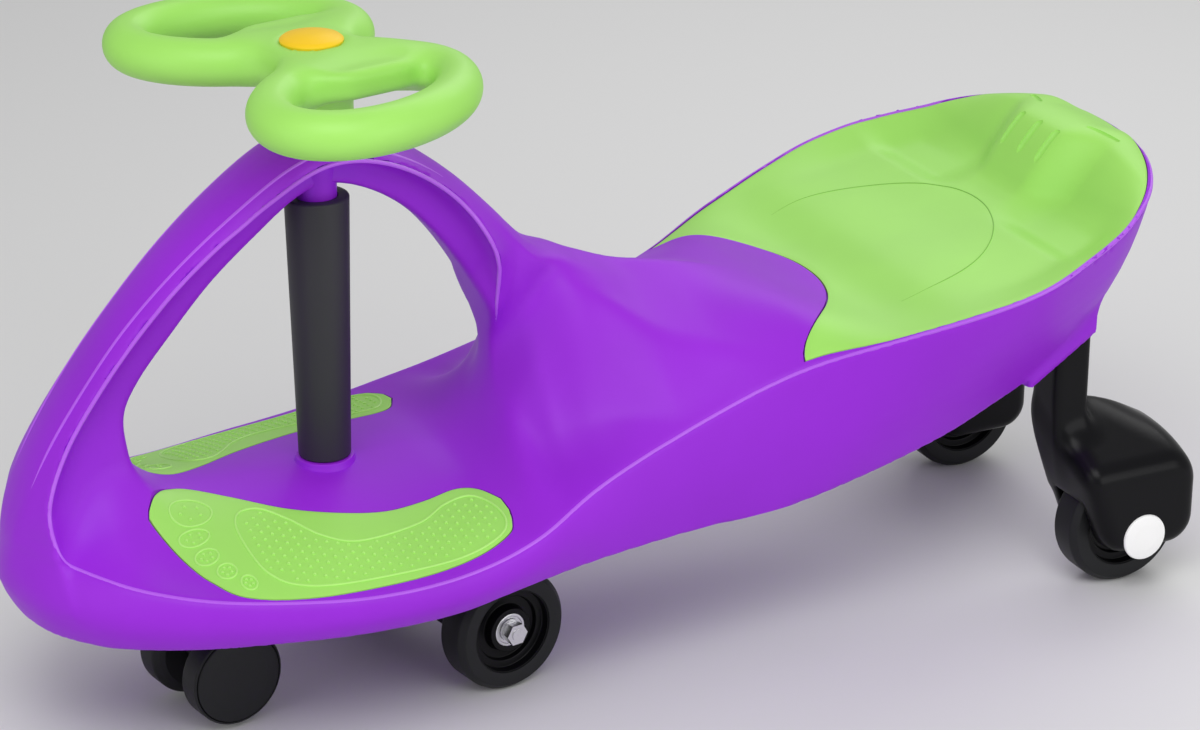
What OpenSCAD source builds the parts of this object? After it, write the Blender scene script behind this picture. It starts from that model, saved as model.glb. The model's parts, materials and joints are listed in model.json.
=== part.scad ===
// Ride-on wiggle car: a hollow moulded body on a steered front carriage with two main
// wheels and a twin-wheel caster, and two fixed rear wheels under hooded brackets.
// Millimetres, +X forward, +Y to the rider's left, +Z up. The wheels stand on z = 0 and
// the middle of the length is at x = 0.

/* [Body] */
// Steering axis to the tip of the nose
nose_len = 211; // [203:1:222]
// Steering axis to the end of the tail
tail_len = 567; // [552:1:590]
// Width of the platform beside the foot pads
platform_w = 278; // [268:2:300]
// Width of the waist in front of the seat
waist_w = 218; // [206:2:236]
// Width across the seat
seat_w = 314; // [300:2:340]
// Height of the platform rim beside the column
platform_z = 116; // [113:1:122]
// Height of the lower edge of the skirt in front
skirt_z = 86; // [84:1:90]
// Height of the rim beside the widest part of the seat
seat_z = 244; // [238:1:252]
// Height of the rim at the tail
tail_z = 285; // [278:1:296]
// Height of the top of the arch
arch_z = 363; // [352:1:380]
// Wall thickness of the shell
wall = 4; // [3:0.5:5]

/* [Seat and pads] */
// Thickness of the seat panel
seat_t = 3; // [2:0.5:3.5]
// Depth of the recess the foot pads sit in
pad_recess = 2; // [1.5:0.25:2.5]
// Diameter of the self-tapping screws
screw_d = 4; // [3:0.5:5]

/* [Steering] */
// Angle the steering stands at, to the left
steer_angle = 10; // [-30:1:30]
// Diameter of the steering shaft
shaft_d = 16; // [12:1:18]
// Outside diameter of the bushes
bush_d = 22; // [20.5:0.5:23]
// Diameter of the column tube at its foot
column_d = 34; // [33:1:38]
// Widening of the column tube towards the top
column_flare = 6; // [2:1:8]
// Width of the steering wheel over both loops
wheel_w = 274; // [260:2:290]
// Length of the steering wheel, front to back
wheel_len = 160; // [150:2:172]
// Thickness of the loops of the steering wheel
loop_d = 29; // [25:1:31]
// Diameter of the round cap in the middle
cap_d = 39; // [37:1:44]

/* [Wheels] */
// Diameter of the two main front wheels
main_d = 80; // [72:1:82]
// Width of the main and rear wheels
wheel_t = 27; // [26:0.5:29]
// Overall width over the main wheels
main_track = 182; // [176:1:190]
// Main axle behind the steering axis
main_trail = 79; // [72:1:86]
// Diameter of the wheel axles
axle_d = 8; // [6:0.5:9]
// Diameter of the rear wheels
rear_d = 84; // [78:1:86]
// Overall width over the rear wheels
rear_track = 232; // [228:1:236]
// Rear axle in front of the end of the tail
rear_overhang = 42; // [38:1:46]
// Diameter of the caster wheels
caster_d = 62; // [56:1:63]
// Caster swivel in front of the steering axis
caster_reach = 100; // [95:1:106]
// Caster axle behind its swivel
caster_trail = 12; // [9:1:16]

/* [Hidden] */
$fn = 64;
eps = 0.01;
fit = 0.1;
gap = 0.2;
play = 0.3;
edge_gap = 0.4;
over = 1;
cut_block = 200;
purple = [0.55, 0.2, 0.8];
green = [0.6, 0.88, 0.4];
yellow = [1, 0.8, 0.2];
black = [0.12, 0.12, 0.13];
white = [0.95, 0.95, 0.95];
steel = [0.75, 0.75, 0.77];

// Half widths used by the tables below
pw = platform_w / 2;
ww = waist_w / 2;
sw = seat_w / 2;

// Rim of the body from nose to tail on the left side: x from the steering axis, y, z
rim = [
    [nose_len - 10, 0, platform_z + 20],
    [nose_len - 16, 30, platform_z + 20],
    [nose_len - 28, 53, platform_z + 17],
    [nose_len - 53, 81, platform_z + 12],
    [nose_len - 94, pw - 32, platform_z + 6],
    [nose_len - 141, pw - 17, platform_z + 1.5],
    [20, pw - 4, platform_z + 0.5],
    [-35, pw, platform_z + 4.5],
    [-85, pw - 5, platform_z + 16],
    [-135, ww + 9, platform_z + 35],
    [-205, ww, platform_z + 58],
    [-275, ww + 3, seat_z - 46],
    [-335, sw - 23, seat_z - 27],
    [177 - tail_len, sw - 6, seat_z - 12],
    [137 - tail_len, sw, seat_z],
    [97 - tail_len, sw - 9, seat_z + 13],
    [59 - tail_len, sw - 27, tail_z - 18],
    [28 - tail_len, sw - 55, tail_z - 9],
    [7 - tail_len, sw - 97, tail_z - 3],
    [-tail_len, 0, tail_z]];

// Lower edge of the skirt below each rim point, and how far the skirt bulges
low = [
    [nose_len - 10, 0, skirt_z, 10],
    [nose_len - 15, 30, skirt_z, 10],
    [nose_len - 26, 52, skirt_z, 9],
    [nose_len - 48, 78, skirt_z + 1, 8],
    [nose_len - 91, pw - 36, skirt_z + 2.5, 6],
    [nose_len - 143, pw - 18, skirt_z + 4, 5],
    [22, pw - 9, skirt_z + 4.5, 5],
    [-30, pw - 5, skirt_z + 7, 5],
    [-80, pw - 11, skirt_z + 12, 5],
    [-135, ww + 8, skirt_z + 14, 4],
    [-205, ww - 3, skirt_z + 14, 4],
    [-270, ww - 7, skirt_z + 14, 4],
    [-330, ww - 6, skirt_z + 26, 4],
    [182 - tail_len, ww - 5, skirt_z + 42, 4],
    [142 - tail_len, ww - 6, skirt_z + 58, 4],
    [107 - tail_len, ww - 12, skirt_z + 70, 5],
    [75 - tail_len, ww - 25, skirt_z + 79, 6],
    [52 - tail_len, ww - 45, skirt_z + 85, 6],
    [37 - tail_len, ww - 73, skirt_z + 88, 5],
    [30 - tail_len, 0, skirt_z + 89, 4]];

// Middle line of the top: x, z, and the width and steepness of the crown across
spine = [
    [nose_len - 10, platform_z + 22, 3, 1.6],
    [nose_len - 31, platform_z + 34, 0.9, 2.2],
    [nose_len - 61, platform_z + 48, 0.6, 2.6],
    [nose_len - 86, platform_z + 46, 0.5, 2.6],
    [nose_len - 106, platform_z + 38, 0.7, 2.2],
    [nose_len - 131, platform_z + 34, 1.5, 1.8],
    [40, platform_z + 32.5, 3, 1.6],
    [-50, platform_z + 33, 3, 1.6],
    [-85, platform_z + 37, 1.2, 1.8],
    [-110, platform_z + 69, 0.5, 3],
    [-130, platform_z + 119, 0.42, 3.6],
    [-150, platform_z + 142, 0.48, 4],
    [-170, platform_z + 141, 0.55, 4],
    [-200, platform_z + 133, 0.68, 4],
    [-240, seat_z - 4, 0.8, 4],
    [-290, seat_z - 18, 1.2, 3.5],
    [-340, seat_z - 28, 3, 4],
    [182 - tail_len, seat_z - 16, 3, 5],
    [137 - tail_len, seat_z - 8, 3, 5.5],
    [99 - tail_len, seat_z - 5, 3, 5],
    [82 - tail_len, seat_z + 8, 3, 4],
    [67 - tail_len, tail_z - 8, 3, 3.4],
    [49 - tail_len, tail_z + 7, 3, 3],
    [27 - tail_len, tail_z + 9, 3, 2.6],
    [-tail_len, tail_z + 1, 3, 2.4]];

// Arch from the nose over the steering axis to the hump: outer x and height, inner x and
// height, half width at the edge line and at the upper line. Heights count from the foot
// of the arch and grow with it.
arch_foot = 150;
arch_k = (arch_z - arch_foot) / 213;
arch = [for (a = [
    [nose_len - 3, -38, nose_len - 93, -38, 62, 40],
    [nose_len - 4, -10, nose_len - 87, 0, 50, 33],
    [nose_len - 12, 15, nose_len - 81, 32, 42, 28],
    [nose_len - 28, 47, nose_len - 80, 56, 37, 25],
    [nose_len - 51, 83, nose_len - 90, 76, 34, 22],
    [nose_len - 78, 117, nose_len - 111, 101, 32, 20],
    [100, 152, 73, 131, 31, 19],
    [64, 183, 44, 155, 31, 19],
    [28, 206, 17, 171, 32, 20],
    [0, 213, -4, 176, 33, 21],
    [-32, 208, -27, 170, 34, 22],
    [-62, 194, -50, 159, 36, 23],
    [-88, 174, -71, 141, 39, 24],
    [-112, 150, -91, 112, 43, 26],
    [-134, 125, -107, 86, 46, 27],
    [-156, 105, -118, 60, 45, 24],
    [-180, 84, -124, 36, 42, 20]])
    [a[0], arch_foot + arch_k * a[1], a[2], arch_foot + arch_k * a[3], a[4], a[5]]];

// Half section of the arch: share of the edge width, share of the upper width, depth
arch_half = [[0, 0.55, 0.015], [0, 1, 0.1], [1, 0, 0.28], [0.98, 0, 0.5], [0.85, 0, 0.85], [0.6, 0, 0.985]];

// Outline of the left foot pad: inner and outer edge, front to rear
pad_in = [[119, 27], [104, 21], [86, 24], [68, 32], [43, 45], [15, 58], [-12, 66], [-38, 67], [-60, 66],
    [-74, 73], [-81, 87]];
pad_out = [[123, 36], [123, 54], [117, 74], [108, 94], [93, 109], [60, 120], [20, 127], [-20, 129],
    [-52, 126], [-72, 117], [-81, 103]];

// Points where screws hold the seat and the pads
seat_points = [[150 - tail_len, 62], [110 - tail_len, 62]];
pad_points = [[72, 88], [-45, 98]];

// Seat panel and its edge
seat_margin = 4;
seat_bay_share = 0.62;
seat_bay_power = 1.2;
seat_front_power = 2.2;
seat_slide = 60;
seat_first = 10.95;
seat_last = 18.94;
seat_bay = 70;
seat_rows = 26;
seat_cols = 16;
skin = wall + seat_t + play;

// How far the cutters of the hollow, the seat and the pads run out
hollow_over = 30;
skirt_extra = 0.5;
seat_over = 30;
pad_over = 20;
pad_rise = 0.5;

// Screw bosses of the seat and the pads
seat_boss_d = screw_d + 5.6;
pad_boss_d = screw_d + 4;
boss_cut = 6;
screw_head_t = 2;
seat_screw_head = 16;
pad_screw_head = 12;
side_screw_head = 9;
boss_screw_len = 6;
side_screw_len = 16;
side_screw_reach = 10;

// Counts for the moulded surfaces
fine_steps = 120;
ribs = 44;
skirt_steps = 4;
top_steps = 9;
arch_steps = 30;

// Column, bushes and shaft
boss_low = 110;
ring_z = platform_z + 37;
ring_h = 11;
ring_d = column_d + 4;
tube_z = ring_z + gap;
tube_top = arch_z - 50;
tube_wall = 3;
lid_t = 4;
spigot_d = 27.4;
spigot_h = 9;
spigot_root = 5;
neck_d = 25;
neck_z = arch_z - 59;
neck_h = 30;
neck_dip = 20;
head_d = 40;
head_low = arch_z - 38;
head_h = 34;
boss_d = head_d + 4;
boss_top = ring_z - 10;
bush_flange = 3;
flange_d = bush_d + 10;
bush_inset = 2;
bore_len = 80;
seat_ring_z = arch_z - bush_flange;
hub_z = arch_z + 0.6;
hub_d = 46;
hub_h = 40;
hub_bore = 60;
hub_top = arch_z + 54;
pocket_z = arch_z + 35;
pocket_d = cap_d - 4;
shaft_top = pocket_z - 2;
shaft_foot = 56;
shaft_head_d = shaft_d + 10;
shaft_head_t = 6;
washer_t = 2;
bolt_d = 8;
bolt_len = 22;
bolt_head_d = 13;
bolt_head_t = 5.5;
bolt_hole_over = 8;
cap_plug = 8;
cap_edge = 3;
cap_bevel = 5;
cap_wall = 2.5;

// Steering wheel loops
loop_splay = 24;
loop_z = arch_z + 42;
loop_lead = 8;
loop_flat = 0.68;
loop_a = (wheel_len / 2 - loop_d / 2) / norm([cos(loop_splay), loop_flat * sin(loop_splay)]);
loop_b = loop_a * loop_flat;
loop_mid = wheel_w / 2 - loop_d / 2 - norm([loop_a * sin(loop_splay), loop_b * cos(loop_splay)]);
loop_ribs = 32;
loop_sides = 12;
web_d = 64;
web_t = loop_d - 6;

// Carriage
carriage_d = 52;
saddle_d = 48;
saddle_h = 32;
saddle_w = 56;
saddle_lift = 2;
saddle_rise = 4;
arm_root_d = 44;
arm_end_d = 30;
arm_over = 5;
bore_over = 100;
axle_end = 5;
spacer_wall = 2;
washer_wall = 3.5;
main_washer_t = 1.6;
carriage_top = 104;
carriage_low = shaft_foot + shaft_head_t;
main_y = main_track / 2;
main_z = main_d / 2;
beam_y = main_y - wheel_t - 5;
beam_w = 30;
beam_low = main_z - 14;
beam_top = main_z + 18;
arm_low = 72;
arm_top = 92;
stem_d = 10;

// Wheels
bearing_d = 22;
bearing_t = 7;
core_share = 0.7;
race_in = 1.5;
race_out = 4;
nut_t = 6.5;
tyre_round = 4;
round_share = 0.3;
tyre_step = 0.5;
hub_wall = 3;
core_rim = 4;
core_step = 1.5;
web_depth = 8;

// Rear brackets
rear_x = rear_overhang - tail_len;
rear_y = rear_track / 2;
rear_z = rear_d / 2;
hood_in = rear_y - wheel_t - 18;
post_x = 80 - tail_len;
post_l = 20;
post_w = 30;
post_y = hood_in + post_w / 2;
post_r = 4;
post_top = skirt_z + 136;
socket_low = skirt_z + 86;
socket_wall = 4;
socket_drop = 40;
socket_over = 60;
well_drop = 40;
axle_inset = 5;
screw_hole = 16;
rear_cap_t = 2;
socket_top = post_top + 5;
screw_z = skirt_z + 114;
socket_tilt = 25;
hood_l = rear_d / 2 + 5;
hood_h = rear_d / 2 + 11;
hood_x = rear_x + 5;
hood_end = hood_l - hood_x;
hood_y = rear_y + 21;
hood_deep = 36;
hood_low = 31;
hood_foot_r = 22;
hood_top_r = 24;
hood_rise = 18;
hood_taper = 5;
hood_edge = 6;
elbow_z = rear_z + hood_h + 40;
elbow_t = 14;
cap_neck_d = 20;
cap_neck_t = 5;
pocket_r = rear_d / 2 + 2;
well_in = rear_y - wheel_t - 3;
well_out = rear_y + 3;
rear_cap_d = 32;

// Caster
caster_z = caster_d / 2 + 4;
caster_in = 14;
caster_out = 35;
caster_axle_d = 6;
yoke_y = 12.5;
disc_d = caster_d - 6;
disc_sink = 2.5;
disc_t = 3;
disc_dome = 2;
disc_bevel = 7;
caster_round = 3;
stem_drop = 14;
stem_head = 3;
yoke_top = 12;
yoke_h = 11.5;
yoke_eye_d = 20;
axle_short = 2;

// The middle of the length is at x = 0
steer_x = (max(tail_len, hood_end) - nose_len) / 2;

// Spline through a list of points; the first and last only steer the ends
function spline(p, t) =
    let (i = min(floor(t), len(p) - 4), f = t - i)
    let (a = p[i], b = p[i + 1], c = p[i + 2], d = p[i + 3])
    0.5 * (2 * b + (c - a) * f + (2 * a - 5 * b + 4 * c - d) * f * f
        + (3 * b - a - 3 * c + d) * f * f * f);
function flip(p) = [for (i = [0:len(p) - 1]) i == 1 ? -p[i] : p[i]];
function looped(p) = concat([flip(p[1])], p, [flip(p[len(p) - 2])]);
function run_out(p) = concat([2 * p[0] - p[1]], p, [2 * p[len(p) - 1] - p[len(p) - 2]]);
function mix(a, b, t) = a + (b - a) * t;

rim_loop = looped(rim);
low_loop = looped(low);
rim_n = len(rim) - 1;
rim_fine = [for (i = [0:fine_steps]) spline(rim_loop, rim_n * i / fine_steps)];
spine_run = run_out(spine);
spine_fine = [for (i = [0:fine_steps]) spline(spine_run, (len(spine) - 1) * i / fine_steps)];
half_y = [for (p = rim_fine) [-p[0], p[1]]];
edge_z = [for (p = rim_fine) [-p[0], p[2]]];
crown_z = [for (p = spine_fine) [-p[0], p[1]]];
crown_w = [for (p = spine_fine) [-p[0], p[2]]];
crown_k = [for (p = spine_fine) [-p[0], p[3]]];

// Height of the top surface, before the seat and pad recesses
function crown(q, w, k) =
    let (b = 1 / (1 + pow(1 / w, k)))
    (1 / (1 + pow(q / w, k)) - b) / (1 - b);
function top_z(x, y) =
    let (q = min(1, abs(y) / max(1, lookup(-x, half_y))), e = lookup(-x, edge_z))
    mix(e, lookup(-x, crown_z), crown(q, lookup(-x, crown_w), lookup(-x, crown_k)));

// Inward direction in plan at a place on the rim
function inward(u) =
    let (a = spline(rim_loop, max(0, u - 0.02)), b = spline(rim_loop, min(rim_n, u + 0.02)))
    let (d = [b[0] - a[0], b[1] - a[1]], l = norm(d))
    u <= eps ? [-1, 0, 0] : u >= rim_n - eps ? [1, 0, 0] : [-d[1] / l, d[0] / l, 0];

// One rib of the body on the left, from the lower edge over the rim to the middle
function spine_x(x) = mix(27 - tail_len, nose_len - 46, (x + tail_len) / (tail_len + nose_len - 10));
function rib(u, side, drop, sink) =
    let (n = inward(u), r = spline(rim_loop, u) + n * side, b4 = spline(low_loop, u))
    let (b = [b4[0], b4[1], b4[2]] + n * side)
    let (rz = [r[0], max(0, r[1]), top_z(r[0], r[1]) - drop], bz = [b[0], max(0, b[1]), b[2]])
    let (m = spine_x(r[0]))
    concat(
        sink > 0 ? [bz - [0, 0, sink]] : [],
        [for (j = [skirt_steps:-1:1])
            let (p = mix(rz, bz, j / skirt_steps) - n * b4[3] * sin(180 * j / skirt_steps))
            [p[0], max(0, p[1]), p[2]]],
        [rz],
        [for (j = [1:top_steps])
            let (t = j / top_steps, x = mix(rz[0], m, t), y = rz[1] * (1 - t))
            [x, y, top_z(x, y) - drop]]);
function both(r) = concat(r, [for (i = [len(r) - 2:-1:0]) [r[i][0], -r[i][1], r[i][2]]]);
function body_rings(side, drop, sink) = [for (i = [0:ribs]) both(rib(rim_n * i / ribs, side, drop, sink))];

// One ring of the arch, inset on all sides
arch_run = run_out(arch);
function arch_ring(t, side) =
    let (a = spline(arch_run, t), o = [a[0], a[1]], i = [a[2], a[3]], l = norm(i - o))
    let (o2 = o + (i - o) / l * side, i2 = i - (i - o) / l * side, yb = a[4] - side, ya = a[5] - side * 0.7)
    let (half = [for (h = arch_half)
        let (p = mix(o2, i2, h[2]))
        [p[0], -h[0] * yb - h[1] * ya, p[1]]])
    concat([[o2[0], 0, o2[1]]], half, [[i2[0], 0, i2[1]]],
        [for (j = [len(half) - 1:-1:0]) [half[j][0], -half[j][1], half[j][2]]]);
function arch_rings(side) = [for (i = [0:arch_steps]) arch_ring((len(arch) - 1) * i / arch_steps, side)];

// Grid over the seat opening; side is how far its edge stands outside the panel's edge
function seat_row(s, side) =
    let (u = mix(seat_first - side / seat_slide, seat_last, s))
    let (e = spline(rim_loop, u) + inward(u) * (seat_margin - side))
    let (f = pow(max(0, 1 - s / seat_bay_share), seat_bay_power) * seat_bay)
    [for (j = [-seat_cols / 2:seat_cols / 2])
        let (t = 2 * j / seat_cols)
        [e[0] - f * (1 - pow(abs(t), seat_front_power)) + side * (1 - s), e[1] * t]];
function seat_grid(side) = [for (i = [0:seat_rows]) seat_row(i / seat_rows, side)];

// Grid over a foot pad
pad_in_run = run_out(pad_in);
pad_out_run = run_out(pad_out);
pad_rows = 20;
pad_cols = 6;
function pad_row(s, side) =
    let (t = s * (len(pad_in) - 1), a = spline(pad_in_run, t), b = spline(pad_out_run, t))
    let (d = (b - a) / norm(b - a))
    let (g = [side * (1 - 2 * s), 0])
    [for (j = [0:pad_cols]) mix(a - d * side, b + d * side, j / pad_cols) + g];
function pad_grid(side) = [for (i = [0:pad_rows]) pad_row(i / pad_rows, side)];

// Closed skin over a row of rings
module skin_over(rings, caps) {
    n = len(rings);
    m = len(rings[0]);
    points = [for (r = rings) each r];
    sides = [for (i = [0:n - 2], j = [0:m - 1], k = [0, 1])
        let (a = i * m + j, b = i * m + (j + 1) % m, c = a + m, d = b + m)
        k == 0 ? [a, b, d] : [a, d, c]];
    ends = caps ? [[for (j = [m - 1:-1:0]) j], [for (j = [0:m - 1]) (n - 1) * m + j]] : [];
    polyhedron(points, concat(sides, ends));
}

// Sheet that follows the top surface over a grid, from one depth to another
module sheet(grid, lower, upper) {
    n = len(grid);
    m = len(grid[0]);
    q = n * m;
    points = concat(
        [for (r = grid, p = r) [p[0], p[1], top_z(p[0], p[1]) + upper]],
        [for (r = grid, p = r) [p[0], p[1], top_z(p[0], p[1]) + lower]]);
    faces = [for (i = [0:n - 2], j = [0:m - 2], k = [0:3])
        let (a = i * m + j, b = a + 1, c = a + m, d = c + 1)
        k == 0 ? [a, d, b] : k == 1 ? [a, c, d] : k == 2 ? [q + a, q + b, q + d] : [q + a, q + d, q + c]];
    front = [for (j = [0:m - 2], k = [0, 1]) k == 0 ? [j, j + 1, q + j] : [q + j, j + 1, q + j + 1]];
    w = (n - 1) * m;
    rear = [for (j = [0:m - 2], k = [0, 1])
        k == 0 ? [w + j + 1, w + j, q + w + j] : [q + w + j + 1, w + j + 1, q + w + j]];
    first = [for (i = [0:n - 2], k = [0, 1])
        let (a = i * m, c = a + m)
        k == 0 ? [c, a, q + a] : [q + c, c, q + a]];
    last = [for (i = [0:n - 2], k = [0, 1])
        let (a = i * m + m - 1, c = a + m)
        k == 0 ? [a, c, q + a] : [q + a, c, q + c]];
    polyhedron(points, concat(faces, front, rear, first, last));
}

// Everything below is placed from the steering axis
module at_steering() {
    translate([steer_x, 0, 0])
        children();
}
module steered() {
    at_steering()
        rotate([0, 0, steer_angle])
            children();
}
module castered() {
    at_steering()
        translate([caster_reach * cos(steer_angle), caster_reach * sin(steer_angle), 0])
            children();
}
module right_side() {
    mirror([0, 1, 0])
        children();
}
module both_sides() {
    children();
    right_side()
        children();
}
module along_y(y) {
    translate([0, y, 0])
        rotate([-90, 0, 0])
            children();
}
module ring(outer, inner, height) {
    difference() {
        cylinder(d = outer, h = height);
        translate([0, 0, -over])
            cylinder(d = inner, h = height + 2 * over);
    }
}
module round_slab(l, w, r) {
    square([l - 2 * r, w], center = true);
    square([l, w - 2 * r], center = true);
    for (x = [-1, 1], y = [-1, 1])
        translate([x * (l / 2 - r), y * (w / 2 - r)])
            circle(r);
}

// Body
module socket_block(grow, z0, z1) {
    translate([post_x - post_l / 2 - grow, post_y - post_w / 2 - grow, z0])
        cube([post_l + 2 * grow, post_w + 2 * grow, z1 - z0]);
}
module socket_outside(z1) {
    difference() {
        socket_block(socket_wall + play, socket_low - socket_drop, z1);
        translate([post_x, 0, socket_low])
            rotate([0, socket_tilt, 0])
                translate([-cut_block / 2, 0, -cut_block / 2])
                    cube([cut_block, cut_block, cut_block / 2]);
    }
}
module shell_moulding() {
    resize([0, 0, 0])
        difference() {
            union() {
                skin_over(body_rings(0, 0, 0), false);
                skin_over(arch_rings(0), true);
                both_sides()
                    socket_outside(socket_top);
            }
            difference() {
                union() {
                    skin_over(body_rings(wall + skirt_extra, skin, hollow_over), false);
                    skin_over(arch_rings(wall), true);
                }
                both_sides()
                    socket_outside(socket_top + socket_over);
            }
            both_sides()
                socket_block(play, socket_low - socket_drop, post_top + over / 2);
            sheet(seat_grid(edge_gap), -seat_t - play, seat_over);
            sheet(pad_grid(edge_gap), -pad_recess, pad_over);
            right_side()
                sheet(pad_grid(edge_gap), -pad_recess, pad_over);
        }
}
module body_shell() {
    color(purple)
        at_steering()
            difference() {
                union() {
                    shell_moulding();
                    translate([0, 0, boss_low])
                        cylinder(d = boss_d, h = boss_top - boss_low);
                    translate([0, 0, ring_z - ring_h])
                        cylinder(d = ring_d, h = ring_h);
                    translate([0, 0, ring_z - spigot_root])
                        cylinder(d = spigot_d, h = spigot_root + spigot_h);
                    translate([0, 0, neck_z])
                        cylinder(d = neck_d, h = neck_h);
                    translate([0, 0, head_low])
                        cylinder(d = head_d, h = head_h);
                }
                translate([0, 0, boss_low - over])
                    cylinder(d = bush_d + fit, h = ring_z + spigot_h + 2 * over - boss_low);
                translate([0, 0, neck_z - over])
                    cylinder(d = bush_d + fit, h = arch_z + 10 * over - neck_z);
                translate([0, 0, seat_ring_z])
                    cylinder(d = flange_d + over, h = flange_d);
                both_sides() {
                    for (p = seat_points)
                        translate([p[0], p[1], top_z(p[0], p[1]) - skin - boss_cut])
                            cylinder(d = seat_boss_d + over, h = skin + boss_cut - 2 * over);
                    for (p = pad_points)
                        translate([p[0], p[1], top_z(p[0], p[1]) - skin - boss_cut])
                            cylinder(d = pad_boss_d + over, h = skin + boss_cut - over);
                    translate([post_x, post_y - post_w / 2 - side_screw_reach, screw_z])
                        rotate([-90, 0, 0])
                            cylinder(d = screw_d + 2 * gap, h = side_screw_reach + 2 * over);
                }
            }
}
module seat_panel() {
    color(green)
        at_steering()
            difference() {
                union() {
                    resize([0, 0, 0])
                        sheet(seat_grid(0), -seat_t, 0);
                    both_sides()
                        for (p = seat_points)
                            translate([p[0], p[1], top_z(p[0], p[1]) - skin - over])
                                cylinder(d = seat_boss_d, h = skin - seat_t / 2);
                }
                both_sides()
                    for (p = seat_points)
                        translate([p[0], p[1], top_z(p[0], p[1]) - skin - 2 * over])
                            cylinder(d = screw_d + fit, h = skin + 2 * play);
            }
}
module foot_pad() {
    at_steering()
        difference() {
            union() {
                resize([0, 0, 0])
                    sheet(pad_grid(0), play - pad_recess, pad_rise);
                for (p = pad_points)
                    translate([p[0], p[1], top_z(p[0], p[1]) - skin - over - 2 * play])
                        cylinder(d = pad_boss_d, h = skin + 4 * gap);
            }
            for (p = pad_points)
                translate([p[0], p[1], top_z(p[0], p[1]) - skin - 2 * over])
                    cylinder(d = screw_d + fit, h = skin + 2 * play);
        }
}
module left_foot_pad() {
    color(green)
        foot_pad();
}
module right_foot_pad() {
    color(green)
        right_side()
            foot_pad();
}
module screw(head, length) {
    cylinder(d = head, h = screw_head_t);
    translate([0, 0, over])
        cylinder(d = screw_d, h = length + over);
}
module seat_screws() {
    color(steel)
        at_steering()
            both_sides()
                for (p = seat_points)
                    translate([p[0], p[1], top_z(p[0], p[1]) - skin - over - screw_head_t - gap])
                        screw(seat_screw_head, boss_screw_len);
}
module pad_screws() {
    color(steel)
        at_steering()
            both_sides()
                for (p = pad_points)
                    translate([p[0], p[1], top_z(p[0], p[1]) - skin - over - screw_head_t - 3 * play])
                        screw(pad_screw_head, boss_screw_len);
}

// Column and bushes
module column_tube() {
    bottom = column_d;
    top = column_d + column_flare;
    thick = 2 * tube_wall;
    color(black)
        at_steering()
            difference() {
                translate([0, 0, tube_z])
                    cylinder(d1 = bottom, d2 = top, h = tube_top - tube_z);
                translate([0, 0, tube_z - eps])
                    cylinder(d1 = bottom - thick, d2 = top - thick, h = tube_top - lid_t - tube_z);
                translate([0, 0, neck_z - neck_dip])
                    cylinder(d = neck_d + 2 * gap, h = 2 * neck_h);
            }
}
module upper_bush() {
    color(white)
        at_steering()
            difference() {
                union() {
                    translate([0, 0, neck_z + bush_inset])
                        cylinder(d = bush_d, h = seat_ring_z - neck_z);
                    translate([0, 0, seat_ring_z + fit / 2])
                        cylinder(d = flange_d, h = bush_flange);
                }
                translate([0, 0, neck_z])
                    cylinder(d = shaft_d + fit, h = bore_len);
            }
}
module lower_bush() {
    color(white)
        at_steering()
            difference() {
                union() {
                    translate([0, 0, boss_low - over])
                        cylinder(d = bush_d, h = ring_z + spigot_h - bush_inset - boss_low);
                    translate([0, 0, boss_low - bush_flange - fit / 2])
                        cylinder(d = head_d, h = bush_flange);
                }
                translate([0, 0, boss_low - 10 * over])
                    cylinder(d = shaft_d + fit, h = bore_len);
            }
}

// Steering wheel and shaft
module loop() {
    rings = [for (i = [0:loop_ribs - 1])
        let (a = 360 * i / loop_ribs, c = [loop_a * cos(a), loop_b * sin(a)])
        let (o = [loop_b * cos(a), loop_a * sin(a)] / norm([loop_b * cos(a), loop_a * sin(a)]))
        [for (j = [0:loop_sides - 1])
            let (b = 360 * j / loop_sides, r = loop_d / 2)
            [c[0] + o[0] * r * cos(b), c[1] + o[1] * r * cos(b), r * sin(b)]]];
    translate([loop_lead, loop_mid, loop_z])
        rotate([0, 0, loop_splay])
            skin_over(concat(rings, [rings[0]]), false);
}
module steering_wheel() {
    color(green)
        steered()
            difference() {
                union() {
                    resize([0, 0, 0])
                        both_sides()
                            loop();
                    translate([0, 0, hub_z])
                        cylinder(d = hub_d, h = hub_h);
                    translate([0, 0, loop_z - web_t / 2])
                        cylinder(d = web_d, h = hub_top - loop_z + web_t / 2);
                    hull()
                        for (y = [-1, 1])
                            translate([0, y * (loop_mid - loop_b), loop_z - web_t / 2])
                                cylinder(d = 2 * web_t, h = web_t);
                }
                translate([0, 0, hub_z - over])
                    cylinder(d = shaft_d + fit, h = hub_bore);
                translate([0, 0, pocket_z])
                    cylinder(d = pocket_d, h = hub_h);
                translate([0, 0, hub_top])
                    cylinder(d = cap_d + 4 * gap, h = loop_d);
            }
}
module wheel_cap() {
    color(yellow)
        steered()
            difference() {
                union() {
                    translate([0, 0, hub_top - cap_plug])
                        cylinder(d = pocket_d - 2 * gap, h = cap_plug + over);
                    translate([0, 0, hub_top + fit])
                        cylinder(d = cap_d, h = cap_edge);
                    translate([0, 0, hub_top + cap_edge])
                        cylinder(d1 = cap_d, d2 = cap_d - 2 * cap_bevel, h = cap_edge);
                }
                translate([0, 0, hub_top - cap_plug - over])
                    cylinder(d = pocket_d - 2 * cap_wall, h = cap_plug + 3 * over);
            }
}
module steering_bolt() {
    color(steel)
        steered() {
            translate([0, 0, pocket_z + washer_t + fit - bolt_len])
                cylinder(d = bolt_d, h = bolt_len + over);
            translate([0, 0, pocket_z + washer_t + fit])
                cylinder(d = bolt_head_d, h = bolt_head_t, $fn = 6);
        }
}
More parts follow.
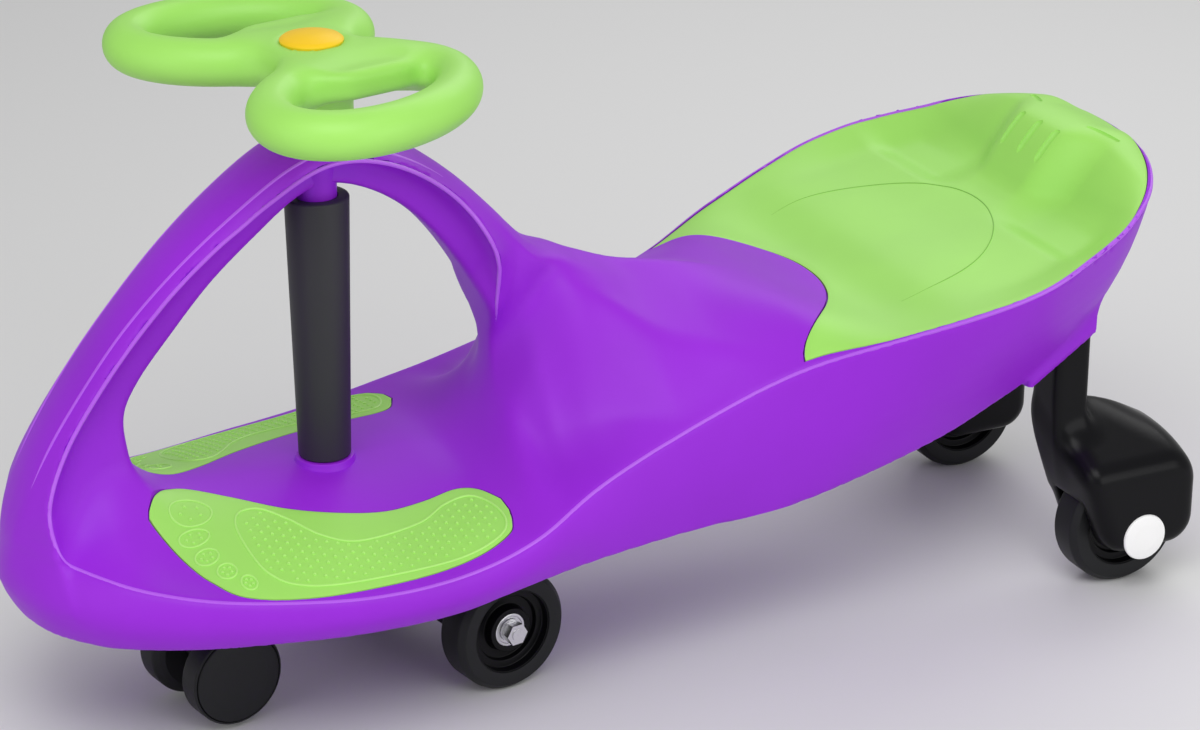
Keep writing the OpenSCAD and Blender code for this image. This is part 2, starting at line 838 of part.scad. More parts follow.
module steering_washer() {
    color(steel)
        steered()
            translate([0, 0, pocket_z + fit / 2])
                ring(shaft_head_d, bolt_d + 2 * gap, washer_t);
}
module steering_shaft() {
    color(steel)
        steered()
            difference() {
                union() {
                    translate([0, 0, shaft_foot])
                        cylinder(d = shaft_d, h = shaft_top - shaft_foot);
                    translate([0, 0, shaft_foot])
                        cylinder(d = shaft_head_d, h = shaft_head_t - fit / 2);
                }
                translate([0, 0, shaft_top - bolt_len - 2 * over])
                    cylinder(d = bolt_d + fit, h = bolt_len + 2 * over + bolt_hole_over);
            }
}
module thrust_washer() {
    color(black)
        steered()
            translate([0, 0, carriage_top + fit / 2])
                ring(head_d, shaft_d + 2 * gap, boss_low - bush_flange - fit - carriage_top - gap);
}

// Carriage and main wheels
module carriage() {
    color(black)
        steered()
            difference() {
                union() {
                    translate([0, 0, carriage_low])
                        cylinder(d = carriage_d, h = carriage_top - carriage_low);
                    translate([-main_trail - beam_w / 2, -beam_y, beam_low])
                        cube([beam_w, 2 * beam_y, beam_top - beam_low]);
                    hull() {
                        translate([0, 0, carriage_low + saddle_lift])
                            cylinder(d = saddle_d, h = saddle_h);
                        translate([-main_trail - beam_w / 2 + saddle_lift, -saddle_w / 2, main_z])
                            cube([beam_w - 2 * saddle_lift, saddle_w, beam_top - main_z + saddle_rise]);
                    }
                    hull() {
                        translate([0, 0, arm_low])
                            cylinder(d = arm_root_d, h = arm_top - arm_low);
                        translate([caster_reach, 0, arm_low])
                            cylinder(d = arm_end_d, h = arm_top - arm_low);
                    }
                }
                translate([0, 0, carriage_low - beam_w])
                    cylinder(d = shaft_d + fit, h = bore_over);
                translate([0, 0, carriage_low - beam_w])
                    cylinder(d = shaft_head_d + 2 * over, h = beam_w);
                translate([caster_reach, 0, arm_low - arm_over])
                    cylinder(d = stem_d + fit, h = arm_top - arm_low + 2 * arm_over);
                translate([-main_trail, 0, main_z])
                    along_y(-beam_y - over)
                        cylinder(d = axle_d + fit, h = 2 * (beam_y + over));
            }
}
module at_main() {
    translate([-main_trail, 0, main_z])
        children();
}
module main_axle() {
    color(steel)
        steered()
            at_main()
                along_y(-main_y - axle_end)
                    cylinder(d = axle_d, h = 2 * (main_y + axle_end));
}
module main_spacers() {
    inner = main_y - wheel_t + race_in;
    between = wheel_t - race_in - race_out - 2 * bearing_t;
    color(steel)
        steered()
            at_main()
                both_sides() {
                    along_y(beam_y + fit)
                        ring(axle_d + 2 * spacer_wall, axle_d + gap, inner - beam_y - 2 * fit);
                    along_y(inner + bearing_t + fit)
                        ring(axle_d + 2 * spacer_wall, axle_d + gap, between - 2 * fit);
                }
}
module main_washers() {
    color(steel)
        steered()
            at_main()
                both_sides()
                    along_y(main_y - race_out + fit)
                        ring(axle_d + 2 * washer_wall, axle_d + gap, main_washer_t);
}
module main_nuts() {
    color(steel)
        steered()
            at_main()
                both_sides()
                    along_y(main_y - race_out + main_washer_t + gap)
                        difference() {
                            cylinder(d = axle_d + 2 * washer_wall, h = nut_t, $fn = 6);
                            translate([0, 0, -over])
                                cylinder(d = axle_d + fit, h = nut_t + 2 * over);
                        }
}

// A wheel is drawn from its inner face at y = 0 outwards
module tyre(d) {
    r = d / 2;
    i = r * core_share;
    e = tyre_round;
    f = tyre_round * round_share;
    rotate_extrude()
        polygon([[i, tyre_step], [r - e, 0], [r - f, f], [r, e], [r, wheel_t - e],
            [r - f, wheel_t - f], [r - e, wheel_t], [i, wheel_t - tyre_step]]);
}
module core(d) {
    i = d / 2 * core_share - fit / 2;
    j = i - core_rim;
    hub = bearing_d / 2 + hub_wall;
    bore = bearing_d / 2 - hub_wall;
    low = race_in - tyre_step;
    high = wheel_t - race_out + tyre_step;
    difference() {
        rotate_extrude()
            polygon([[bore, low], [hub, low], [hub, web_depth], [j, web_depth], [j, core_step],
                [i, core_step], [i, wheel_t - core_step], [j, wheel_t - core_step],
                [j, wheel_t - web_depth], [hub, wheel_t - web_depth], [hub, high], [bore, high]]);
        translate([0, 0, -over])
            cylinder(d = bearing_d + fit, h = race_in + bearing_t + over + fit);
        translate([0, 0, wheel_t - race_out - bearing_t - fit])
            cylinder(d = bearing_d + fit, h = wheel_t);
    }
}
module bearings() {
    for (z = [race_in, wheel_t - race_out - bearing_t])
        translate([0, 0, z])
            ring(bearing_d, axle_d + fit, bearing_t);
}
module main_place() {
    steered()
        at_main()
            along_y(main_y - wheel_t)
                children();
}
module main_place_right() {
    steered()
        right_side()
            at_main()
                along_y(main_y - wheel_t)
                    children();
}
module left_main_core() {
    color(black)
        main_place()
            core(main_d);
}
module right_main_core() {
    color(black)
        main_place_right()
            core(main_d);
}
module left_main_tyre() {
    color(black)
        main_place()
            tyre(main_d);
}
module right_main_tyre() {
    color(black)
        main_place_right()
            tyre(main_d);
}
module left_main_bearings() {
    color(steel)
        main_place()
            bearings();
}
module right_main_bearings() {
    color(steel)
        main_place_right()
            bearings();
}

// Rear brackets and wheels
module rear_place() {
    at_steering()
        translate([rear_x, 0, rear_z])
            along_y(rear_y - wheel_t)
                children();
}
module hood_profile(y0, y1, trim, lift) {
    for (x = [-1, 1]) {
        translate([hood_x + x * (hood_l - hood_foot_r), 0, hood_low + hood_foot_r])
            along_y(y0)
                cylinder(r = hood_foot_r - trim, h = y1 - y0);
        translate([hood_x + x * (hood_l - hood_top_r), 0, rear_z + hood_h + lift - hood_top_r])
            along_y(y0)
                cylinder(r = hood_top_r - trim, h = y1 - y0);
    }
}
module rear_bracket() {
    at_steering()
        difference() {
            union() {
                translate([post_x, post_y, elbow_z])
                    linear_extrude(post_top - elbow_z)
                        round_slab(post_l, post_w, post_r);
                hull() {
                    translate([post_x, post_y, elbow_z - elbow_t / 2])
                        linear_extrude(elbow_t)
                            round_slab(post_l, post_w, post_r);
                    hood_profile(hood_in, hood_in + hood_deep, hood_taper, hood_rise);
                    hood_profile(hood_in + hood_deep, hood_y - hood_edge, 0, 0);
                }
                hull() {
                    hood_profile(hood_in + hood_deep, hood_y - hood_edge, 0, 0);
                    hood_profile(hood_in + hood_deep, hood_y, hood_edge, 0);
                }
            }
            translate([rear_x, 0, rear_z])
                along_y(well_in)
                    cylinder(r = pocket_r, h = well_out - well_in);
            translate([rear_x - pocket_r, well_in, -well_drop])
                cube([2 * pocket_r, well_out - well_in, rear_z + well_drop]);
            translate([rear_x, 0, rear_z])
                along_y(hood_in + axle_inset)
                    cylinder(d = axle_d + fit, h = hood_y - hood_in);
            translate([rear_x, 0, rear_z])
                along_y(hood_y - cap_neck_t)
                    cylinder(d = cap_neck_d + 2 * gap, h = 2 * cap_neck_t);
            translate([post_x, post_y - post_w / 2 - over, screw_z])
                rotate([-90, 0, 0])
                    cylinder(d = screw_d + fit, h = screw_hole);
        }
}
module left_rear_bracket() {
    color(black)
        rear_bracket();
}
module right_rear_bracket() {
    color(black)
        right_side()
            rear_bracket();
}
module bracket_screws() {
    color(steel)
        at_steering()
            both_sides()
                translate([post_x, post_y - post_w / 2 - play - socket_wall - screw_head_t - fit, screw_z])
                    rotate([-90, 0, 0])
                        screw(side_screw_head, side_screw_len);
}
module rear_axle() {
    at_steering()
        translate([rear_x, 0, rear_z])
            along_y(hood_in + axle_inset + over)
                cylinder(d = axle_d, h = hood_y - hood_in - 2 * (axle_inset + over));
}
module left_rear_axle() {
    color(steel)
        rear_axle();
}
module right_rear_axle() {
    color(steel)
        right_side()
            rear_axle();
}
module axle_cap() {
    at_steering()
        translate([rear_x, 0, rear_z])
            along_y(hood_y) {
                translate([0, 0, -cap_neck_t + gap])
                    cylinder(d = cap_neck_d, h = cap_neck_t);
                translate([0, 0, fit])
                    cylinder(d1 = rear_cap_d, d2 = rear_cap_d - 2 * rear_cap_t, h = rear_cap_t);
            }
}
module left_axle_cap() {
    color(white)
        axle_cap();
}
module right_axle_cap() {
    color(white)
        right_side()
            axle_cap();
}
module left_rear_core() {
    color(black)
        rear_place()
            core(rear_d);
}
module right_rear_core() {
    color(black)
        right_side()
            rear_place()
                core(rear_d);
}
module left_rear_tyre() {
    color(black)
        rear_place()
            tyre(rear_d);
}
module right_rear_tyre() {
    color(black)
        right_side()
            rear_place()
                tyre(rear_d);
}
module left_rear_bearings() {
    color(steel)
        rear_place()
            bearings();
}
module right_rear_bearings() {
    color(steel)
        right_side()
            rear_place()
                bearings();
}

// Caster
module caster_stem() {
    color(steel)
        castered() {
            translate([0, 0, arm_low - stem_drop])
                cylinder(d = stem_d, h = arm_top + stem_head - arm_low + stem_drop);
            translate([0, 0, arm_top + play])
                cylinder(d = stem_d + 2 * stem_head, h = stem_head);
        }
}
module caster_yoke() {
    color(black)
        castered()
            difference() {
                hull() {
                    translate([0, 0, arm_low - yoke_top])
                        cylinder(r = yoke_y, h = yoke_h);
                    translate([-caster_trail, 0, caster_z])
                        along_y(-yoke_y)
                            cylinder(d = yoke_eye_d, h = 2 * yoke_y);
                }
                translate([0, 0, arm_low - stem_drop - over])
                    cylinder(d = stem_d + fit, h = yoke_h + yoke_eye_d);
                translate([-caster_trail, 0, caster_z])
                    along_y(-yoke_y - over)
                        cylinder(d = caster_axle_d + fit, h = 2 * (yoke_y + over));
            }
}
module at_caster() {
    castered()
        translate([-caster_trail, 0, caster_z])
            children();
}
module caster_axle() {
    color(steel)
        at_caster()
            along_y(axle_short - caster_out)
                cylinder(d = caster_axle_d, h = 2 * (caster_out - axle_short));
}
module caster_wheel() {
    r = caster_d / 2;
    w = caster_out - caster_in;
    e = caster_round;
    f = caster_round * round_share;
    i = disc_d / 2 + play;
    difference() {
        rotate_extrude()
            polygon([[0, 0], [r - e, 0], [r - f, f], [r, e], [r, w - e], [r - f, w - f],
                [r - e, w], [i, w], [i, w - disc_sink], [0, w - disc_sink]]);
        translate([0, 0, -over])
            cylinder(d = caster_axle_d + fit, h = w);
    }
}
module caster_disc() {
    translate([0, 0, gap - disc_sink])
        difference() {
            union() {
                cylinder(d = disc_d, h = disc_t);
                translate([0, 0, disc_t])
                    cylinder(d1 = disc_d, d2 = disc_d - 2 * disc_bevel, h = disc_dome);
            }
            translate([0, 0, -over])
                cylinder(d = caster_axle_d + 2 * over, h = disc_sink);
        }
}
module left_caster_wheel() {
    color(black)
        at_caster()
            along_y(caster_in)
                caster_wheel();
}
module right_caster_wheel() {
    color(black)
        at_caster()
            right_side()
                along_y(caster_in)
                    caster_wheel();
}
module left_caster_disc() {
    color(black)
        at_caster()
            along_y(caster_out)
                caster_disc();
}
module right_caster_disc() {
    color(black)
        at_caster()
            right_side()
                along_y(caster_out)
                    caster_disc();
}

body_shell();
seat_panel();
left_foot_pad();
right_foot_pad();
column_tube();
upper_bush();
lower_bush();
seat_screws();
pad_screws();
left_rear_bracket();
right_rear_bracket();
bracket_screws();
left_rear_axle();
right_rear_axle();
left_axle_cap();
right_axle_cap();
steering_wheel();
wheel_cap();
steering_bolt();
steering_washer();
steering_shaft();
thrust_washer();
carriage();
main_axle();
main_spacers();
main_washers();
main_nuts();
left_main_core();
right_main_core();
left_main_tyre();
right_main_tyre();
left_main_bearings();
right_main_bearings();
left_rear_core();
right_rear_core();
left_rear_tyre();
right_rear_tyre();
left_rear_bearings();
right_rear_bearings();
caster_stem();
caster_yoke();
caster_axle();
left_caster_wheel();
right_caster_wheel();
left_caster_disc();
right_caster_disc();
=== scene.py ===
"""Dressed model of a ride-on wiggle car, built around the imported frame.

Body sizes are in millimetres from the steering axis, +X forward, +Y left, +Z up, and go
to metres in the part's frame when a mesh is made.
"""
import json
import math

import bmesh
import bpy
import numpy as np
from mathutils import Matrix, Vector
from numpy.linalg import norm


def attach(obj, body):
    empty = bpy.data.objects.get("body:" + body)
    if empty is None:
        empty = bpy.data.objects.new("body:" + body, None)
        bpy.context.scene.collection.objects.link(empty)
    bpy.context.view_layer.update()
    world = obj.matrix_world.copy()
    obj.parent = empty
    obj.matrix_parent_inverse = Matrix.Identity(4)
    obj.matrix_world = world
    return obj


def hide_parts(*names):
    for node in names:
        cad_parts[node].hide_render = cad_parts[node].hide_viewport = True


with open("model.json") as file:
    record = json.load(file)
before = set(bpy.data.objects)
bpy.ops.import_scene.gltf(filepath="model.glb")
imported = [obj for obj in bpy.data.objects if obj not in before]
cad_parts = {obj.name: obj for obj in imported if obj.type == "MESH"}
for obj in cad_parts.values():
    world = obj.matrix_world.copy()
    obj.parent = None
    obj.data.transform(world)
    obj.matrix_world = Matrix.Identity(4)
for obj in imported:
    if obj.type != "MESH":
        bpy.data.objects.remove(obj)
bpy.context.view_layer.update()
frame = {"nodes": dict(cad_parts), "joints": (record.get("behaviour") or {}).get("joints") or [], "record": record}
MM = 0.001
JOINTS = {j["name"]: j for j in frame["joints"]}
AXIS_X = JOINTS["steering_turn"]["pos_m"][0] / MM
STEER = math.radians(10)

# Main sizes of the body
NOSE = 211
TAIL = 567
DECK_Y = 139
WAIST_Y = 109
SEAT_Y = 157
DECK_Z = 116
SKIRT_Z = 86
SEAT_Z = 244
TAIL_Z = 285
ARCH_Z = 363
WALL = 7
CELL = 3.1

# Rim of the body on the left side, nose to tail: x, y, z
RIM = np.array([
    [NOSE - 10, 0, DECK_Z + 20],
    [NOSE - 16, 30, DECK_Z + 20],
    [NOSE - 28, 53, DECK_Z + 17],
    [NOSE - 53, 81, DECK_Z + 12],
    [NOSE - 94, DECK_Y - 32, DECK_Z + 6],
    [NOSE - 141, DECK_Y - 17, DECK_Z + 1.5],
    [20, DECK_Y - 4, DECK_Z + 0.5],
    [-35, DECK_Y, DECK_Z + 4.5],
    [-85, DECK_Y - 5, DECK_Z + 16],
    [-135, WAIST_Y + 9, DECK_Z + 35],
    [-205, WAIST_Y, DECK_Z + 58],
    [-275, WAIST_Y + 3, SEAT_Z - 46],
    [-335, SEAT_Y - 23, SEAT_Z - 27],
    [177 - TAIL, SEAT_Y - 6, SEAT_Z - 12],
    [137 - TAIL, SEAT_Y, SEAT_Z],
    [97 - TAIL, SEAT_Y - 9, SEAT_Z + 13],
    [59 - TAIL, SEAT_Y - 27, TAIL_Z - 18],
    [28 - TAIL, SEAT_Y - 55, TAIL_Z - 9],
    [7 - TAIL, SEAT_Y - 97, TAIL_Z - 3],
    [-TAIL, 0, TAIL_Z],
], float)

# Lower edge of the skirt below each rim point: x, y, z and the bulge of the skirt
LOW = np.array([
    [NOSE - 10, 0, SKIRT_Z, 10],
    [NOSE - 15, 30, SKIRT_Z, 10],
    [NOSE - 26, 52, SKIRT_Z, 9],
    [NOSE - 48, 78, SKIRT_Z + 1, 8],
    [NOSE - 91, DECK_Y - 36, SKIRT_Z + 2.5, 6],
    [NOSE - 143, DECK_Y - 18, SKIRT_Z + 4, 5],
    [22, DECK_Y - 9, SKIRT_Z + 4.5, 5],
    [-30, DECK_Y - 5, SKIRT_Z + 7, 5],
    [-80, DECK_Y - 11, SKIRT_Z + 12, 5],
    [-135, WAIST_Y + 8, SKIRT_Z + 14, 4],
    [-205, WAIST_Y - 3, SKIRT_Z + 14, 4],
    [-270, WAIST_Y - 7, SKIRT_Z + 14, 4],
    [-330, WAIST_Y - 6, SKIRT_Z + 26, 4],
    [182 - TAIL, WAIST_Y - 5, SKIRT_Z + 42, 4],
    [142 - TAIL, WAIST_Y - 6, SKIRT_Z + 58, 4],
    [107 - TAIL, WAIST_Y - 12, SKIRT_Z + 70, 5],
    [75 - TAIL, WAIST_Y - 25, SKIRT_Z + 79, 6],
    [52 - TAIL, WAIST_Y - 45, SKIRT_Z + 85, 6],
    [37 - TAIL, WAIST_Y - 73, SKIRT_Z + 88, 5],
    [30 - TAIL, 0, SKIRT_Z + 89, 4],
], float)

# Middle line of the top: x, z, and the width and steepness of the crown across
SPINE = np.array([
    [NOSE - 10, DECK_Z + 22, 3, 1.6],
    [NOSE - 31, DECK_Z + 34, 0.9, 2.2],
    [NOSE - 61, DECK_Z + 48, 0.6, 2.6],
    [NOSE - 86, DECK_Z + 46, 0.5, 2.6],
    [NOSE - 106, DECK_Z + 38, 0.7, 2.2],
    [NOSE - 131, DECK_Z + 34, 1.5, 1.8],
    [40, DECK_Z + 32.5, 3, 1.6],
    [-50, DECK_Z + 33, 3, 1.6],
    [-85, DECK_Z + 37, 1.2, 1.8],
    [-110, DECK_Z + 69, 0.5, 3],
    [-130, DECK_Z + 119, 0.42, 3.6],
    [-150, DECK_Z + 142, 0.48, 4],
    [-170, DECK_Z + 141, 0.55, 4],
    [-200, DECK_Z + 133, 0.68, 4],
    [-240, SEAT_Z - 4, 0.8, 4],
    [-290, SEAT_Z - 18, 1.2, 3.5],
    [-340, SEAT_Z - 28, 3, 4],
    [182 - TAIL, SEAT_Z - 16, 3, 7],
    [137 - TAIL, SEAT_Z - 8, 3, 8],
    [102 - TAIL, SEAT_Z + 1, 3, 7],
    [87 - TAIL, SEAT_Z + 6, 3, 6],
    [79 - TAIL, SEAT_Z + 11, 3, 5],
    [71 - TAIL, SEAT_Z + 22, 3, 4],
    [58 - TAIL, TAIL_Z - 2, 3, 3.6],
    [47 - TAIL, TAIL_Z + 7, 3, 3],
    [27 - TAIL, TAIL_Z + 9, 3, 2.6],
    [-TAIL, TAIL_Z + 1, 3, 2.4],
], float)

# Arch, nose to hump: outer x and z, inner x and z, then half width and depth share of its
# edge line and of its upper line, and the depth of the hollow below the edge line
FOOT = 150
ARCH = np.array([
    [NOSE - 3, FOOT - 38, NOSE - 93, FOOT - 38, 60, 0.26, 8, 0.01, 14],
    [NOSE - 3, FOOT - 10, NOSE - 87, FOOT, 48, 0.22, 12, 0.01, 14],
    [NOSE - 11, FOOT + 15, NOSE - 81, FOOT + 32, 38, 0.15, 17, 0.02, 13],
    [NOSE - 27, FOOT + 47, NOSE - 80, FOOT + 56, 32, 0.17, 17, 0.04, 12],
    [NOSE - 51, FOOT + 83, NOSE - 90, FOOT + 76, 30, 0.21, 18, 0.05, 13],
    [NOSE - 78, FOOT + 117, NOSE - 111, FOOT + 101, 29, 0.24, 18, 0.06, 13],
    [100, FOOT + 152, 73, FOOT + 131, 31, 0.27, 21, 0.1, 14],
    [64, FOOT + 183, 44, FOOT + 156, 33, 0.35, 24, 0.14, 17],
    [28, FOOT + 206, 17, FOOT + 176, 34, 0.38, 25, 0.14, 25],
    [0, ARCH_Z, -4, FOOT + 182, 34, 0.34, 25, 0.12, 28],
    [-32, FOOT + 208, -27, FOOT + 176, 34, 0.29, 25, 0.12, 25],
    [-62, FOOT + 194, -50, FOOT + 162, 36, 0.28, 25, 0.12, 18],
    [-88, FOOT + 174, -71, FOOT + 141, 39, 0.32, 25, 0.12, 17],
    [-112, FOOT + 150, -91, FOOT + 112, 42, 0.5, 26, 0.12, 13],
    [-134, FOOT + 125, -103, FOOT + 86, 30, 0.9, 27, 0.12, 2],
    [-156, FOOT + 105, -111, FOOT + 60, 10, 0.94, 26, 0.1, 0],
    [-180, FOOT + 84, -118, FOOT + 36, 5, 0.95, 22, 0.1, 0],
], float)

# Outline of the left foot pad: inner and outer edge, front to rear
PAD_IN = np.array([[127, 33], [119, 22], [108, 13.5], [94, 13], [72, 26], [44, 46], [15, 60], [-12, 68],
                   [-38, 67.5], [-60, 64.5], [-73, 70], [-81, 86]], float)
PAD_OUT = np.array([[128.5, 37], [126, 45], [117, 71], [109, 90], [95, 109], [60, 121], [20, 127],
                    [-20, 129], [-52, 126], [-72, 118], [-78, 109], [-81, 98]], float)


# Splines and maps
def spline(points, t):
    """Catmull-Rom curve through all but the first and last of the points."""
    i = np.minimum(np.floor(t).astype(int), len(points) - 4)
    f = (t - i)[:, None]
    a, b, c, d = points[i], points[i + 1], points[i + 2], points[i + 3]
    square, cube = 2 * a - 5 * b + 4 * c - d, 3 * b - a - 3 * c + d
    return 0.5 * (2 * b + (c - a) * f + square * f ** 2 + cube * f ** 3)


def mirrored_ends(p):
    flip = np.ones(p.shape[1])
    flip[1] = -1
    return np.vstack([p[1] * flip, p, p[-2] * flip])


def run_out(p):
    return np.vstack([2 * p[0] - p[1], p, 2 * p[-1] - p[-2]])


def smooth_step(x):
    x = np.clip(x, 0, 1)
    return x * x * (3 - 2 * x)


def smooth_min(a, b, k):
    h = np.maximum(k - np.abs(a - b), 0) / k
    return np.minimum(a, b) - h * h * k / 4


def smooth_max(a, b, k):
    return -smooth_min(-a, -b, k)


FINE = 240
RIM_LOOP = mirrored_ends(RIM)
LOW_LOOP = mirrored_ends(LOW)
RIM_N = len(RIM) - 1
RIM_T = np.linspace(0, RIM_N, FINE)
RIM_FINE = spline(RIM_LOOP, RIM_T)
LOW_FINE = spline(LOW_LOOP, RIM_T)
SPINE_FINE = spline(run_out(SPINE), np.linspace(0, len(SPINE) - 1, FINE))


def look_up(table, x, column):
    """Value of a column at x, in a table that runs from nose to tail."""
    return np.interp(-x, -table[:, 0], table[:, column])


def crown(q, w, k):
    """Share of the crown's height at a share q of the way to the rim."""
    base = 1 / (1 + (1 / w) ** k)
    return (1 / (1 + (q / w) ** k) - base) / (1 - base)


def window(x, start, rise, end, fall):
    """Share that rises behind the start and falls again towards the end."""
    return smooth_step((start - x) / rise) * smooth_step((x - end) / fall)


# Flats of the hump: where they rise and fall, then their corners as shares of the crown's width
FLATS = (-115, 90, -295, 60)
CREASE, CREASE_GAIN, CREASE_X, CREASE_RUN = 0.6, 0.32, -140, 100
SHOULDER, SHOULDER_MOST = 1.35, 0.9


def facets(x, q, w, k):
    """The same crown in three flats with soft corners, the upper one wider towards the seat."""
    a = (CREASE + CREASE_GAIN * smooth_step((CREASE_X - x) / CREASE_RUN)) * w
    b = np.minimum(SHOULDER * w, SHOULDER_MOST)
    crease, shoulder = crown(a, w, k), crown(b, w, k)
    first = 1 - (1 - crease) * q / a
    second = crease + (shoulder - crease) * (q - a) / (b - a)
    third = shoulder * (1 - q) / (1 - b)
    return smooth_min(first, smooth_max(second, third, 0.05), 0.07)


# Bowl of the seat with a bolster at each side, and the wings that recede beside the back rest
BOWL = (-375, 50, -515, 25)
BOLSTER = 0.78
WING, WING_X, WING_RUN, WING_Y, WING_WIDE = 20, -455, 20, 20, 38


def top(x, y):
    """Height of the top surface of the body, without the arch."""
    q = np.minimum(1, np.abs(y) / np.maximum(1, look_up(RIM_FINE, x, 1)))
    w, k = look_up(SPINE_FINE, x, 2), look_up(SPINE_FINE, x, 3)
    flat = window(x, *FLATS)
    share = crown(q, w, k) * (1 - flat) + facets(x, q, w, k) * flat
    bowl = window(x, *BOWL)
    share = share * (1 - bowl) + (1 - smooth_max(q - BOLSTER, 0, 0.05) / (1 - BOLSTER)) * bowl
    edge = look_up(RIM_FINE, x, 2)
    back = WING * smooth_step((np.abs(y) - WING_Y) / WING_WIDE) * smooth_step((WING_X - x) / WING_RUN)
    return edge + (look_up(SPINE_FINE, x + back, 1) - edge) * share


def inward(t):
    """Unit normals in plan that point into the body at places along the rim."""
    a = spline(RIM_LOOP, np.clip(t - 0.02, 0, RIM_N))
    b = spline(RIM_LOOP, np.clip(t + 0.02, 0, RIM_N))
    d = b[:, :2] - a[:, :2]
    d /= norm(d, axis=1)[:, None]
    n = np.stack([-d[:, 1], d[:, 0]], 1)
    n[t < 0.01] = (-1, 0)
    n[t > RIM_N - 0.01] = (1, 0)
    return n


def polygon_distance(x, y, polygon):
    """Signed distance in plan to a closed outline, negative inside."""
    best = np.full(x.shape, 1e9)
    inside = np.zeros(x.shape, bool)
    for (ax, ay), (bx, by) in zip(polygon, np.roll(polygon, -1, 0)):
        ex, ey = bx - ax, by - ay
        t = np.clip(((x - ax) * ex + (y - ay) * ey) / (ex * ex + ey * ey + 1e-12), 0, 1)
        best = np.minimum(best, (x - ax - t * ex) ** 2 + (y - ay - t * ey) ** 2)
        crosses = (ay > y) != (by > y)
        inside ^= crosses & (x < ax + (y - ay) * ex / (ey if abs(ey) > 1e-12 else 1e-12))
    return np.where(inside, -1, 1) * np.sqrt(best)


# Grid in plan for the maps below
MAP_STEP = 3
MAP_X0, MAP_Y0 = -TAIL - 24, -SEAT_Y - 24
MAP_X = np.arange(MAP_X0, NOSE + 30, MAP_STEP, float)
MAP_Y = np.arange(MAP_Y0, SEAT_Y + 30, MAP_STEP, float)
GRID_X, GRID_Y = np.meshgrid(MAP_X, MAP_Y, indexing="ij")
SKIRT_LEVELS = 9


def plan_map(m):
    """A function of x and y kept on the grid and read between its points."""
    def read(x, y):
        u = np.clip((x - MAP_X0) / MAP_STEP, 0, m.shape[0] - 1.001)
        v = np.clip((y - MAP_Y0) / MAP_STEP, 0, m.shape[1] - 1.001)
        i, j = u.astype(int), v.astype(int)
        f, g = u - i, v - j
        return ((m[i, j] * (1 - f) + m[i + 1, j] * f) * (1 - g)
                + (m[i, j + 1] * (1 - f) + m[i + 1, j + 1] * f) * g)

    return read


def skirt_outline(share):
    """Closed outline of the body in plan, a share of the way down its skirt."""
    n = np.column_stack([inward(RIM_T), np.zeros(FINE)])
    p = RIM_FINE + (LOW_FINE[:, :3] - RIM_FINE) * share
    p = p - n * LOW_FINE[:, 3:] * math.sin(math.pi * share)
    p[:, 1] = np.maximum(p[:, 1], 0)
    return np.vstack([p[:, :2], (p[-2:0:-1, :2] * (1, -1))])


SKIRT_MAPS = [plan_map(polygon_distance(GRID_X, GRID_Y, skirt_outline(i / (SKIRT_LEVELS - 1))))
              for i in range(SKIRT_LEVELS)]
TOP_GRID = top(GRID_X, GRID_Y)
TOP_MAP = plan_map(TOP_GRID)
SLOPE_X, SLOPE_Y = np.gradient(TOP_GRID, MAP_STEP)
TILT_MAP = plan_map(1 / np.sqrt(1 + SLOPE_X ** 2 + SLOPE_Y ** 2))
ARCH_FINE = spline(run_out(ARCH), np.linspace(0, len(ARCH) - 1, 200))

# Section of the arch: how far a row holds past its ends, and the corners of its underside as shares
ROW_REACH = 20
UNDERSIDE = ((0.98, 0.3), (0.85, 0.8), (0.6, 0.98))

# Hollow below the edge line: taper of the side, how the hollow sets in, and how its face blends
TAPER, TAPER_GAIN, FULL_HOLLOW = 0.1, 0.54, 12
HOLLOW_LIP, FACE_SLOPE, FACE_BLEND = 0.17, 0.8, 4.5


def skirt_field(x, y, z):
    rim_z = look_up(RIM_FINE, x, 2)
    low_z = look_up(LOW_FINE, x, 2)
    level = np.clip((rim_z - z) / (rim_z - low_z), 0, 1) * (SKIRT_LEVELS - 1)
    field = np.zeros(np.broadcast(x, y, z).shape)
    for i, level_map in enumerate(SKIRT_MAPS):
        share = np.maximum(0, 1 - np.abs(level - i))
        field += share * level_map(x, y)
    return field, low_z - z


